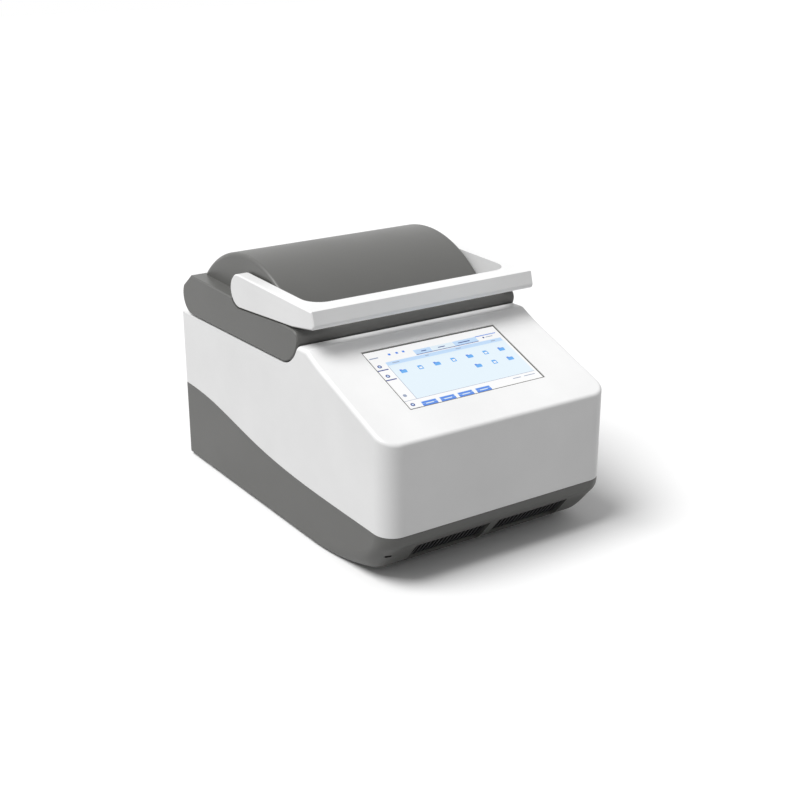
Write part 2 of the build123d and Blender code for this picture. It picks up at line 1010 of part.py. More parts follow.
def make_display_panel():
    """Display panel behind the glass, with its frame's stepped back."""
    depth = wall + screen_seat_gap + glass_thickness + screen_seat_gap
    width = screen_width + 2 * glass_margin - panel_margin
    height = screen_height + 2 * glass_margin - panel_margin
    panel = screen_slab(width, height, depth, panel_rim_thickness)
    panel += screen_slab(width - 4 * panel_margin, height - 2 * panel_margin, depth, panel_thickness)
    return one(panel)


def display_standoffs():
    """Spacers between the display panel and its board."""
    depth = wall + 2 * screen_seat_gap + glass_thickness + panel_thickness
    plane = screen_plane(depth + display_board_gap)
    result = Part()
    for x in (-screen_width / 3, screen_width / 3):
        for y in (-screen_height / 3, screen_height / 3):
            spacer = plane * Pos(x, y) * RegularPolygon(display_spacer_radius, small_sides)
            result += extrude(spacer, display_board_gap)
    return result


def make_display_board():
    """Circuit board on spacers at the back of the display panel."""
    depth = wall + 2 * screen_seat_gap + glass_thickness + panel_thickness + display_board_gap
    board = screen_slab(display_board_width, display_board_height, depth, display_board_thickness)
    board += display_standoffs()
    chip_plane = screen_plane(depth + display_board_thickness + display_chip_height)
    chip = chip_plane * Pos(0, display_chip_up) * Rectangle(display_chip, display_chip)
    board += extrude(chip, display_chip_height)
    return one(board)


def make_sample_block():
    """Metal block with its grid of conical wells."""
    block = bay_box(block_width / 2, block_length / 2, block_low, block_top)
    block = chamfer(block.edges().filter_by(Axis.Z), block_corner)
    mouth = RegularPolygon(well_mouth_radius, well_sides)
    tip = Pos(0, 0, -well_depth) * RegularPolygon(well_tip_radius, well_sides)
    well = loft([tip, mouth])
    wells = [Pos(x, y, up(block_top)) * well for x, y in well_places()]
    return one(block - wells)


def make_block_collar():
    """Insulating collar round the block, flush with the deck and sloped down to the wells."""
    half_x = block_width / 2 + collar_wall
    half_y = block_length / 2 + collar_wall
    collar = bay_box(half_x, half_y, sink_top, collar_top)
    collar = chamfer(collar.edges().filter_by(Axis.Z), block_corner)
    hole_x = block_width / 2 + block_clearance
    hole_y = block_length / 2 + block_clearance
    collar -= bay_box(hole_x, hole_y, sink_top - 1, collar_top + 1)
    rim = [
        edge
        for edge in collar.edges()
        if edge.bounding_box().min.Z > up(collar_top) - 0.01
        and abs(edge.center().X) < hole_x + 1
        and abs(edge.center().Y - back(bay_back)) < hole_y + 1
    ]
    return one(chamfer(rim, collar_slope_drop, collar_slope_run))


def make_peltier_modules():
    """Two thermoelectric modules between the block and the heat sink."""
    modules = Part()
    for way in (-1, 1):
        low_x = way * (peltier_size / 2 + stack_gap) - peltier_size / 2
        modules += box(
            low_x,
            low_x + peltier_size,
            bay_back - peltier_size / 2,
            bay_back + peltier_size / 2,
            sink_top,
            sink_top + peltier_thickness,
        )
    return modules


def make_heat_sink():
    """Finned heat sink whose base plate rests on the chassis."""
    half_x = sink_width / 2 + sink_flange
    half_y = sink_length / 2
    sink = bay_box(half_x, half_y, sink_top - sink_base, sink_top)
    count = int((sink_width - fin_thickness) // fin_pitch)
    for index in range(count + 1):
        x = (index - count / 2) * fin_pitch
        sink += box(
            x - fin_thickness / 2,
            x + fin_thickness / 2,
            bay_back - half_y,
            bay_back + half_y,
            sink_low,
            sink_top - sink_base + 1,
        )
    return one(sink)


def make_chassis():
    """Bent steel bracket on the floor that carries the heat sink and holds the fan."""
    inner = fan_size / 2 + stack_gap
    outer = inner + chassis_thickness
    low_back = bay_back - fan_size / 2
    high_back = bay_back + fan_size / 2
    top = sink_top - sink_base
    ledge_top = fan_low - stack_gap
    window_low = wall + 4 * chassis_thickness
    window_high = fan_low - chassis_window_margin
    half_window = chassis_window / 2
    chassis = Part()
    for way in (-1, 1):
        wall_x = between(way, inner, outer)
        foot_x = between(way, inner, outer + chassis_foot)
        ledge_x = between(way, inner - sink_flange, outer)
        cut_x = between(way, inner - 1, outer + 1)
        chassis += box(*wall_x, low_back, high_back, wall, top)
        chassis += box(*foot_x, low_back, high_back, wall, wall + chassis_thickness)
        chassis += box(*ledge_x, low_back, high_back, ledge_top - chassis_thickness, ledge_top)
        for index in range(chassis_windows):
            middle = low_back + fan_size * (index + 0.5) / chassis_windows
            chassis -= box(*cut_x, middle - half_window, middle + half_window, window_low, window_high)
    return chassis


def fan_frame(size, depth, bore):
    """Square fan frame standing along Z, with cut corners."""
    frame = extrude(Rectangle(size, size), depth)
    frame = chamfer(frame.edges().filter_by(Axis.Z), (size / 2 - bore) * 2)
    return frame - Cylinder(bore, 4 * depth)


def fan_spokes(bore, hub, thickness):
    """Four spokes and the motor plate at the low face of a fan frame."""
    plate = extrude(Circle(hub), thickness)
    for turn in range(4):
        outline = Rectangle(bore - hub + spoke_overlap, thickness + 1)
        bar = Rot(0, 0, 45 + 90 * turn) * Pos((hub + bore) / 2, 0) * outline
        plate += extrude(bar, thickness)
    return plate


def fan_rotor(bore, hub, depth):
    """Rotor with pitched blades round a hub, spinning about Z."""
    rotor = extrude(Circle(hub), depth)
    reach = bore - blade_gap
    slant = depth / math.cos(math.radians(blade_pitch)) - 2 * blade_thickness
    for index in range(blade_count):
        blade = Box(reach - hub + blade_root, blade_thickness, slant)
        blade = Pos((hub - blade_root + reach) / 2, 0, depth / 2) * Rot(blade_pitch, 0, 0) * blade
        rotor += Rot(0, 0, index * 360 / blade_count) * blade
    return one(rotor)


def make_cooling_fan():
    """Frame of the fan under the heat sink, held between the chassis walls."""
    fan = fan_frame(fan_size, fan_depth, fan_bore_radius)
    fan += fan_spokes(fan_bore_radius, fan_hub_radius, cooling_spoke)
    return one(Pos(0, back(bay_back), up(fan_low)) * fan)


def make_cooling_rotor():
    """Rotor of the fan under the heat sink."""
    low = cooling_spoke + rotor_gap
    rotor = fan_rotor(fan_bore_radius, fan_hub_radius, fan_depth - low - rotor_set_back)
    return Pos(0, back(bay_back), up(fan_low + low)) * rotor


def exhaust_place(way):
    """Place of an exhaust fan: its low face against the rear wall, turned to blow to the rear."""
    return Pos(way * exhaust_x, back(body_depth - wall - stack_gap), up(exhaust_height)) * Rot(90, 0, 0)


def make_exhaust_frames():
    """Frames of the two exhaust fans at the rear wall."""
    frames = Part()
    for way in (-1, 1):
        fan = fan_frame(exhaust_size, exhaust_depth, exhaust_bore_radius)
        fan += fan_spokes(exhaust_bore_radius, exhaust_hub_radius, exhaust_spoke)
        frames += exhaust_place(way) * one(fan)
    return frames


def make_exhaust_rotor(way):
    """Rotor of one exhaust fan."""
    low = exhaust_spoke + rotor_gap
    rotor = fan_rotor(exhaust_bore_radius, exhaust_hub_radius, exhaust_depth - low - rotor_set_back)
    return exhaust_place(way) * Pos(0, 0, low) * rotor


# Rear panel and what is set in it


def plate_face():
    """Distance of the rear panel's outer face behind the front face of the case."""
    return body_depth - panel_recess


def make_rear_panel():
    """Steel plate behind the recess in the tray's rear wall, with its cut-outs."""
    face = plate_face()
    margin = wall - grille_clearance
    plate = box(
        -panel_half_width - margin,
        panel_half_width + margin,
        face - panel_plate,
        face,
        panel_low - margin,
        panel_high + margin,
    )
    plate -= panel_hole(inlet_x, inlet_width, inlet_height)
    plate -= panel_hole(switch_x, switch_width, switch_height)
    for x, width, height in sockets:
        plate -= panel_hole(x, width, height)
    for index in range(panel_vents):
        x = -panel_half_width + (index + 1.5) * vent_pitch
        low = panel_row_height - panel_vent_length / 2
        limits = (x - vent_slot / 2, x + vent_slot / 2)
        plate -= box(*limits, face - wall, face + 1, low, low + panel_vent_length)
    return one(plate)


def panel_hole(x, width, height):
    """Cut-out of the rear panel for one inserted part."""
    face = plate_face()
    return box(
        x - width / 2,
        x + width / 2,
        face - 2 * panel_plate,
        face + panel_plate,
        panel_row_height - height / 2,
        panel_row_height + height / 2,
    )


def insert_body(x, width, height, rim, rim_thickness, depth):
    """Body of a part set in the rear panel, with a rim in front of the plate."""
    face = plate_face()
    fit = grille_clearance
    body = box(
        x - width / 2 + fit,
        x + width / 2 - fit,
        face - depth,
        face + rim_thickness,
        panel_row_height - height / 2 + fit,
        panel_row_height + height / 2 - fit,
    )
    body += box(
        x - width / 2 - rim,
        x + width / 2 + rim,
        face,
        face + rim_thickness,
        panel_row_height - height / 2 - rim,
        panel_row_height + height / 2 + rim,
    )
    return body


def make_power_inlet():
    """Three-pin appliance inlet with its screw ears, cavity and pins."""
    body = insert_body(inlet_x, inlet_width, inlet_height, insert_rim, insert_rim, inlet_depth)
    face = plate_face()
    ear = inlet_width / 2 + insert_rim + screw_head_radius
    body += box(
        inlet_x - ear - screw_head_radius,
        inlet_x + ear + screw_head_radius,
        face,
        face + insert_rim,
        panel_row_height - screw_head_radius - ear_margin,
        panel_row_height + screw_head_radius + ear_margin,
    )
    for way in (-1, 1):
        hole = Rot(90, 0, 0) * Cylinder(screw_radius, 4 * insert_rim)
        body -= Pos(inlet_x + way * ear, back(face), up(panel_row_height)) * hole
    half_x = inlet_width / 2 - inlet_wall
    half_z = inlet_height / 2 - inlet_wall
    mouth = face + insert_rim
    low = panel_row_height - half_z
    cavity = box(inlet_x - half_x, inlet_x + half_x, mouth - inlet_cavity, mouth + 1, low, low + 2 * half_z)
    upper = [edge for edge in cavity.edges().filter_by(Axis.Y) if edge.center().Z > up(panel_row_height)]
    body = one(body - chamfer(upper, inlet_corner))
    half_pin = inlet_pin_thickness / 2
    for way in (-1, 0, 1):
        x = inlet_x + way * inlet_pin_spacing
        middle = panel_row_height + inlet_pin_rise * (1 - 2 * abs(way))
        low = middle - inlet_pin_height / 2
        front = mouth - inlet_pin_set_back
        body += box(x - half_pin, x + half_pin, mouth - inlet_cavity - 1, front, low, low + inlet_pin_height)
    return one(body)


def make_switch_frame():
    """Frame of the power switch with an open mouth for its rocker."""
    frame = insert_body(switch_x, switch_width, switch_height, insert_rim / 2, insert_rim, switch_depth)
    face = plate_face()
    frame -= box(
        switch_x - switch_width / 2 + inlet_wall,
        switch_x + switch_width / 2 - inlet_wall,
        face - switch_depth + 2 * inlet_wall,
        face + insert_rim + 1,
        panel_row_height - switch_height / 2 + inlet_wall,
        panel_row_height + switch_height / 2 - inlet_wall,
    )
    return one(frame)


def make_switch_rocker():
    """Rocker on two short trunnions, tilted with its upper half pressed in."""
    face = plate_face()
    half_x = switch_width / 2 - inlet_wall - side_clearance
    half_z = switch_height / 2 - inlet_wall - side_clearance
    pivot = side(face, panel_row_height)
    outline = Polyline(
        (-rocker_base, -half_z * rocker_base_share),
        (rocker_dish, -half_z + rocker_corner),
        (rocker_dish - rocker_hollow, 0),
        (rocker_dish, half_z - rocker_corner),
        (-rocker_base, half_z * rocker_base_share),
        close=True,
    )
    rocker = extrude(Plane.YZ * make_face(outline), half_x, both=True)
    rocker += Rot(0, 90, 0) * Cylinder(trunnion_radius, 2 * (half_x + trunnion_reach))
    turned = Pos(switch_x, pivot[0], pivot[1]) * Rot(switch_throw / 2, 0, 0)
    return one(turned * rocker)


def make_data_sockets():
    """Network and serial sockets, each an open metal shell with a tongue inside."""
    face = plate_face()
    result = Part()
    for x, width, height in sockets:
        body = insert_body(x, width, height, 0, panel_plate / 2, socket_depth)
        top = panel_row_height + height / 2
        body -= box(
            x - width / 2 + shell_thickness,
            x + width / 2 - shell_thickness,
            face - socket_depth + 1.5 * shell_thickness,
            face + panel_plate,
            top - height + shell_thickness,
            top - shell_thickness,
        )
        body += box(
            x - width / 2 + tongue_width_inset,
            x + width / 2 - tongue_width_inset,
            face - socket_depth + shell_thickness,
            face - tongue_depth,
            top - tongue_low,
            top - tongue_high,
        )
        result += one(body)
    return result


# Electronics on the floor


def board_plate(middle_x, middle_back, width, length):
    """Circuit board on its standoffs."""
    low = standoff_height
    return box(
        middle_x - width / 2,
        middle_x + width / 2,
        middle_back - length / 2,
        middle_back + length / 2,
        low,
        low + board_thickness,
    )


def on_board(x, distance, width, length, height):
    """Component standing on the boards."""
    low = standoff_height + board_thickness
    return box(x - width / 2, x + width / 2, distance - length / 2, distance + length / 2, low, low + height)


def make_main_board():
    """Control board behind the chin."""
    return board_plate(*boards[0])


def make_driver_board():
    """Drive board for the thermoelectric modules at the left side."""
    return board_plate(*boards[1])


def make_board_parts():
    """Chips, coils, capacitors and plug headers of the two boards."""
    low = standoff_height + board_thickness
    parts = Part()
    parts += on_board(processor_x, main_board_back, processor_size, processor_size, processor_height)
    parts += on_board(memory_x, main_board_back, memory_width, memory_length, memory_height)
    for index in range(header_count):
        x = header_first_x + index * header_pitch
        parts += on_board(x, main_board_back - header_offset, header_width, header_length, header_height)
        parts += faceted(capacitor_radius, capacitor_height, x, main_board_back + capacitor_offset, low)
    for index in range(driver_count):
        distance = side_board_back + (index - (driver_count - 1) / 2) * driver_pitch
        parts += on_board(-supply_x + coil_offset, distance, coil_width, coil_length, coil_height)
        parts += on_board(-supply_x - driver_offset, distance, driver_width, driver_length, driver_height)
    return parts


def make_power_supply():
    """Boxed power supply with rows of vent slots, on the tray's standoffs."""
    low = standoff_height
    body = box(
        supply_x - supply_width / 2,
        supply_x + supply_width / 2,
        supply_back - supply_length / 2,
        supply_back + supply_length / 2,
        low,
        low + supply_height,
    )
    top = low + supply_height
    half_slot = supply_width / 2 - supply_vent_margin
    slot_x = (supply_x - half_slot, supply_x + half_slot)
    count = int((supply_length - 2 * supply_end) // (2 * vent_pitch))
    first = supply_back - (count - 1) * vent_pitch - vent_slot / 2
    for index in range(count):
        distance = first + index * 2 * vent_pitch
        body -= box(*slot_x, distance, distance + vent_slot, top - supply_vent_depth, top + 1)
    return one(body)


# Hinge


def lid_strip(front, rear, low, high):
    """Side outline of a strip along the lid's underside, between two heights over it."""
    return make_face(
        Polyline(
            side(front, lid_low(front) + low),
            side(rear, lid_low(rear) + low),
            side(rear, lid_low(rear) + high),
            side(front, lid_low(front) + high),
            close=True,
        )
    )


def hinge_profile(foot):
    """Side outline of a hinge ear: a round eye on the axis drawn out to its foot."""
    eye = Pos(*side(hinge_back, hinge_height)) * Circle(ear_radius)
    return make_hull(eye.edges() + foot.edges())


def hinge_bore():
    """Bore for a hinge pin through ear and lugs."""
    reach = bracket_width
    return across(pin_radius + running_clearance, hinge_x - reach, hinge_x + reach, hinge_back, hinge_height)


def make_hinge_brackets():
    """Brackets under the deck whose ears stand up through it to the hinge axis."""
    seat = -lid_gap - wall - grille_clearance
    under_ear = lid_strip(hinge_back - ear_radius, hinge_back + ear_radius, seat - bracket_thickness, seat)
    bracket = slab_between(hinge_profile(under_ear), hinge_x - ear_thickness / 2, hinge_x + ear_thickness / 2)
    front = hinge_back - bracket_length / 2 - bracket_thickness
    foot = lid_strip(front, hinge_back + bracket_length / 2, seat - bracket_thickness, seat)
    bracket += slab_between(foot, hinge_x - bracket_width / 2, hinge_x + bracket_width / 2)
    return both_sides(one(bracket - hinge_bore()))


def make_hinge_pins():
    """Short pins through the ears and the lid's lugs."""
    reach = ear_thickness / 2 + lug_gap + lug_thickness + pin_end
    return both_sides(across(pin_radius, hinge_x - reach, hinge_x + reach, hinge_back, hinge_height))


def make_lid_knuckles():
    """Forked lugs on the lid base that turn on the hinge pins."""
    rear = hinge_back - knuckle_inset
    front = rear - bracket_length
    low = base_plate_thickness + stack_gap
    foot = lid_strip(front, rear, low, low + bracket_thickness)
    profile = hinge_profile(foot)
    inner = ear_thickness / 2 + lug_gap
    outer = inner + lug_thickness
    knuckle = slab_between(foot, hinge_x - outer, hinge_x + outer)
    knuckle += slab_between(profile, hinge_x - outer, hinge_x - inner)
    knuckle += slab_between(profile, hinge_x + inner, hinge_x + outer)
    return both_sides(one(knuckle - hinge_bore()))


# Lid


def base_plate_line(distance):
    """Height of the lid base's upper face."""
    return lid_low(distance) + base_plate_thickness


def base_plate_face(grow, low, high):
    """Side outline of the lid base or its opening, between two heights over the lid's underside."""
    front = nose_centre_back + base_front_inset - grow
    return lid_strip(front, hinge_back - base_rear_inset + grow, low, high)


def lid_post_places():
    """Places of the posts inside the lid that its base is screwed to."""
    x = half_width - lid_wall - lid_post_radius - lid_post_inset
    front = nose_centre_back + base_front_inset + lid_post_front_inset
    rear = hinge_back - base_rear_inset - lid_post_rear_inset
    return [(way * x, distance) for way in (-1, 1) for distance in (front, rear)]


def make_lid_cover():
    """Grey lid moulding: slab with rounded nose, arched hood, handle pockets and hinge slots."""
    slab = one(prism(lid_face(), half_width))
    edges = [edge for edge in slab.edges() if edge.bounding_box().size.X < 0.01]
    slab = one(chamfer(edges, lid_side_edge))
    hood = one(prism(hood_face(), hood_half_width))
    ends = [
        edge
        for edge in hood.edges()
        if edge.bounding_box().size.X < 0.01 and edge.bounding_box().max.Z > up(lid_top_rear + hood_rise / 2)
    ]
    hood = one(fillet(ends, hood_end_radius))
    outer = slab + hood
    void = prism(lid_face(-lid_wall), half_width - lid_wall)
    void += prism(hood_face(lid_wall), hood_half_width - lid_wall)
    void += prism(base_plate_face(0, -run_past, 2 * lid_wall), half_width - lid_wall)
    pocket = arm_face(pocket_gap)
    pocket_inner = arm_inner - 2 * pocket_gap
    for way in (-1, 1):
        room = between(way, pocket_inner - pocket_wall, body_width)
        void -= slab_between(offset(pocket, pocket_wall), *room)
    cover = outer - void
    for x, distance in lid_post_places():
        low = base_plate_line(distance) + stack_gap
        cover += faceted(lid_post_radius, lid_top(distance) - lid_wall / 2 - low, x, distance, low)
    for way in (-1, 1):
        cover -= slab_between(pocket, *between(way, pocket_inner, body_width))
        hole = between(way, hood_half_width - 3 * lid_wall, hood_half_width + 1)
        cover -= across(bush_radius + running_clearance, *hole, pivot_back, pivot_height)
    slot = box(
        hinge_x - ear_thickness / 2 - ear_slot_clearance,
        hinge_x + ear_thickness / 2 + ear_slot_clearance,
        hinge_back - ear_radius - 2 * ear_slot_clearance,
        body_depth,
        lid_low_rear - 1,
        hinge_height + ear_radius + ear_slot_clearance,
    )
    cover -= both_sides(slot)
    for x, distance in lid_post_places():
        low = base_plate_line(distance)
        cover -= faceted(thread_hole_radius, post_screw_depth, x, distance, low)
    return one(cover)


def plate_hole():
    """Room for the heated plate in the lid base."""
    half_x = block_width / 2 + plate_clearance
    half_y = block_length / 2 + plate_clearance
    return bay_box(half_x, half_y, deck_rear, hinge_height)


def guide_places():
    """Places of the pins that guide the plate carrier."""
    x = block_width / 2 + carrier_margin + guide_radius
    return [(way * x, bay_back) for way in (-1, 1)]


def optics_post_places():
    """Places of the posts that carry the optics plate."""
    x = optics_plate_half_width - optics_post_inset
    half_y = rail_spacing / 2 + rail_block / 2
    middle = bay_back + optics_post_shift
    return [(way * x, middle + y) for way in (-1, 1) for y in (-half_y, half_y)]


def make_lid_base():
    """Plate that closes the lid from below, with guide pins and posts for what it carries."""
    x = half_width - lid_wall - base_plate_clearance
    plate = prism(base_plate_face(-base_plate_clearance, 0, base_plate_thickness), x)
    for place_x, distance in optics_post_places():
        low = lid_low(distance) + base_plate_thickness / 2
        plate += faceted(optics_post_radius, optics_z - low, place_x, distance, low)
    for place_x, distance in guide_places():
        low = lid_low(distance) + base_plate_thickness / 2
        plate += upright(guide_radius, guide_top - low, place_x, distance, low)
    plate -= plate_hole()
    for place_x, distance in lid_post_places():
        plate -= faceted(screw_radius, 3 * base_plate_thickness, place_x, distance, lid_low(distance) - 2)
    return one(plate)


def make_lid_screws():
    """Countersunk screws that hold the lid base to the cover's posts."""
    screws = Part()
    for x, distance in lid_post_places():
        low = lid_low(distance) + lid_screw_set_back
        screws += faceted(screw_shank_radius, post_screw_depth - screw_end_room, x, distance, low)
    return screws


def make_heated_plate():
    """Heated pressure plate with one window over each well."""
    plate = bay_box(block_width / 2, block_length / 2, plate_low, plate_low + plate_height)
    plate = chamfer(plate.edges().group_by(Axis.Z)[0], plate_edge)
    window = extrude(RegularPolygon(window_radius, small_sides), plate_height + 2)
    windows = [Pos(x, y, up(plate_low - 1)) * window for x, y in well_places()]
    return one(plate - windows)


def make_plate_heater():
    """Heating foil on the heated plate, a frame round its windows."""
    low = plate_low + plate_height
    inset = block_margin - window_radius - heater_rim
    half_x = block_width / 2 - heater_inset
    half_y = block_length / 2 - heater_inset
    outer = bay_box(half_x, half_y, low, low + heater_thickness)
    inner = bay_box(block_width / 2 - inset, block_length / 2 - inset, low - 1, low + 2 * heater_thickness)
    return one(outer - inner)


def make_plate_carrier():
    """Frame that carries the heated plate, runs on the guide pins and meets the cams."""
    half_x = block_width / 2 + 2 * carrier_margin
    half_y = block_length / 2 + carrier_margin / 2
    carrier_top = carrier_low + carrier_height
    carrier = bay_box(half_x, half_y, carrier_low, carrier_top)
    skirt_low = plate_low + plate_height + heater_thickness
    skirt_x = block_width / 2 - heater_inset
    skirt_y = block_length / 2 - heater_inset
    carrier += bay_box(skirt_x, skirt_y, skirt_low, carrier_low + 1)
    window_inset = block_margin - window_radius - carrier_rim
    window_x = block_width / 2 - window_inset
    window_y = block_length / 2 - window_inset
    carrier -= bay_box(window_x, window_y, plate_low, carrier_top + 1)
    follower_top = pivot_height - cam_lobe_reach - cam_lobe_radius - cam_gap
    arm_half = follower_width / 2 + follower_margin
    for way in (-1, 1):
        arm_x = between(way, half_x - 2, cam_x + cam_width / 2)
        carrier += box(*arm_x, pivot_back - arm_half, pivot_back + arm_half, carrier_low, carrier_top)
        post_x = between(way, cam_x - cam_width / 2, cam_x + cam_width / 2)
        post_back = (pivot_back - follower_width / 2, pivot_back + follower_width / 2)
        carrier += box(*post_x, *post_back, carrier_low, follower_top)
    bore_low = carrier_low - carrier_height
    for x, distance in guide_places():
        carrier -= upright(guide_radius + guide_clearance, 4 * carrier_height, x, distance, bore_low)
    return one(carrier)


def make_return_springs():
    """Bowed leaf springs on the lid base that lift the carrier when the handle is raised."""
    high = carrier_low - running_clearance - spring_strip
    springs = Part()
    for front, rear in spring_spans():
        ends = [
            side(front, base_plate_line(front) + running_clearance),
            side((front + rear) / 2, high),
            side(rear, base_plate_line(rear) + running_clearance),
        ]
        raised = [(y, z + spring_strip) for y, z in ends]
        strip = make_face(
            [
                ThreePointArc(*ends),
                Line(ends[2], raised[2]),
                ThreePointArc(*reversed(raised)),
                Line(raised[0], ends[0]),
            ]
        )
        for x, distance in guide_places():
            springs += slab_between(strip, x - spring_width / 2, x + spring_width / 2)
    return springs


def spring_spans():
    """Front and rear end of the leaf springs before and behind each guide pin."""
    near = 2 * guide_radius
    far = block_length / 2 + carrier_margin / 2
    return [(bay_back - far, bay_back - near), (bay_back + near, bay_back + far)]


# Handle


def make_lid_handle():
    """Handle with two side arms and a front bar, moulded in one piece."""
    solid = one(prism(arm_face(), arm_outer))
    ends = [edge for edge in solid.edges() if edge.bounding_box().size.X < 0.01]
    solid = one(chamfer(ends, lid_side_edge))
    reach = pivot_back + 2 * arm_end_radius
    front = bar_back + bar_depth
    inner = Pos(0, back((front + reach) / 2)) * Rectangle(2 * arm_inner, reach - front)
    inner = fillet(inner.vertices().group_by(Axis.Y)[0], bar_inner_radius)
    solid -= extrude(inner, 2 * pivot_height, dir=(0, 0, 1))
    for way in (-1, 1):
        limits = between(way, arm_inner - 1, arm_inner + arm_thickness / 2)
        solid -= across(shaft_radius + running_clearance, *limits, pivot_back, pivot_height)
    return one(solid)


def make_pivot_bushes():
    """Flanged bushes of the handle shafts in the sides of the hood."""
    inside = hood_half_width - lid_wall - bush_flange_thickness
    seat = hood_half_width + bush_seat_gap
    bush = across(bush_radius, inside, seat + bush_flange_thickness / 2, pivot_back, pivot_height)
    bush += across(bush_flange_radius, seat, seat + bush_flange_thickness, pivot_back, pivot_height)
    bush -= across(shaft_radius + running_clearance, 0, body_width, pivot_back, pivot_height)
    return both_sides(one(bush))


def make_handle_shafts():
    """Stub shafts fixed in the handle's arms, each with a lobed cam inside the hood."""
    outer_end = arm_inner + arm_thickness / 2 - shaft_end_room
    shaft = across(shaft_radius, cam_x - cam_width / 2 - 1, outer_end, pivot_back, pivot_height)
    base = Pos(*side(pivot_back, pivot_height)) * Circle(cam_base_radius)
    lobe = Pos(*side(pivot_back, pivot_height - cam_lobe_reach)) * Circle(cam_lobe_radius)
    cam = make_hull(base.edges() + lobe.edges())
    shaft += slab_between(cam, cam_x - cam_width / 2, cam_x + cam_width / 2)
    return both_sides(one(shaft))


# Scanning optics


def rail_backs():
    """Distance of each scan rail behind the front face."""
    return [bay_back - rail_spacing / 2, bay_back + rail_spacing / 2]


def make_optics_plate():
    """Plate over the heated plate that carries the rails, the motor and the idler."""
    half_y = rail_spacing / 2 + rail_block
    rear = rail_spacing / 2 + belt_offset + motor_size / 2 + 1
    half_x = optics_plate_half_width
    top = optics_z + optics_plate_thickness
    plate = box(-half_x, half_x, bay_back - half_y, bay_back + rear, optics_z, top)
    plate -= bay_box(block_width / 2, block_length / 2, optics_z - 1, top + 1)
    half_block = rail_block / 2
    for rail_back in rail_backs():
        for way in (-1, 1):
            x = way * (half_x - half_block - 1)
            block_back = (rail_back - half_block, rail_back + half_block)
            plate += box(x - half_block, x + half_block, *block_back, optics_z, rail_z + half_block)
        plate -= across(rail_radius + running_clearance, -half_x - 1, half_x + 1, rail_back, rail_z)
    plate += upright(axle_radius, pulley_top - optics_z, belt_x, belt_back, optics_z)
    plate += upright(axle_radius + idler_shoulder, pulley_low - stack_gap - top, belt_x, belt_back, top)
    return one(plate)


def make_scan_rails():
    """The two rods that the optics carriage runs on."""
    reach = optics_plate_half_width - 1
    rails = Part()
    for rail_back in rail_backs():
        rails += across(rail_radius, -reach, reach, rail_back, rail_z)
    return rails


def make_scan_carriage():
    """Carriage that runs across the lid on the rails, with a tab at the belt."""
    half_y = rail_spacing / 2 + rail_block / 2
    carriage = bay_box(carriage_width / 2, half_y, carriage_low, carriage_top)
    carriage = chamfer(carriage.edges().group_by(Axis.Z)[-1], carriage_edge)
    for rail_back in rail_backs():
        reach = carriage_width
        carriage -= across(rail_radius + running_clearance, -reach, reach, rail_back, rail_z)
    tab_x = (-belt_tab_half_width, belt_tab_half_width)
    tab_rear = belt_back - pulley_radius - belt_thickness / 2 - side_clearance
    carriage += box(*tab_x, bay_back + half_y - 3, tab_rear, pulley_low, carriage_top)
    return one(carriage)


def make_scan_lenses():
    """Lens barrels under the carriage, one for each row of wells."""
    lenses = Part()
    for row in range(well_rows):
        distance = bay_back + (row - (well_rows - 1) / 2) * well_pitch
        lenses += faceted(lens_radius, lens_length, 0, distance, carriage_low - lens_length)
    return lenses


def make_detector_board():
    """Detector board on top of the carriage."""
    low = carriage_top
    top = low + board_thickness
    half_x = carriage_width / 2 - detector_margin_x
    board = bay_box(half_x, rail_spacing / 2 - detector_margin_y, low, top)
    chip_top = top + detector_chip_height
    board += bay_box(detector_chip_half_width, detector_chip_half_length, low, chip_top)
    return one(board)


def make_scan_motor():
    """Stepper motor whose shaft stands up through the belt drive."""
    low = optics_z + optics_plate_thickness
    half = motor_size / 2
    body = box(-belt_x - half, -belt_x + half, belt_back - half, belt_back + half, low, low + motor_height)
    body = chamfer(body.edges().filter_by(Axis.Z), motor_corner)
    body += upright(axle_radius, pulley_top - low, -belt_x, belt_back, low)
    return one(body)


def make_pulley(way):
    """Belt pulley with flanges and a bore that runs on its shaft."""
    x = way * belt_x
    core = pulley_radius - belt_thickness / 2 - side_clearance
    pulley = upright(core, pulley_height, x, belt_back, pulley_low)
    for low in (pulley_low, pulley_low + pulley_height - pulley_flange_thickness):
        pulley += upright(core + pulley_flange, pulley_flange_thickness, x, belt_back, low)
    pulley -= upright(axle_radius + running_clearance, 2 * pulley_height, x, belt_back, pulley_low - 1)
    return one(pulley)


def make_scan_belt():
    """Endless belt round the motor pulley and the idler."""
    loop = SlotCenterToCenter(2 * belt_x, 2 * pulley_radius + belt_thickness)
    gap = SlotCenterToCenter(2 * belt_x, 2 * pulley_radius - belt_thickness)
    low = pulley_low + (pulley_height - belt_width) / 2
    return Pos(0, back(belt_back), up(low)) * extrude(loop - gap, belt_width)


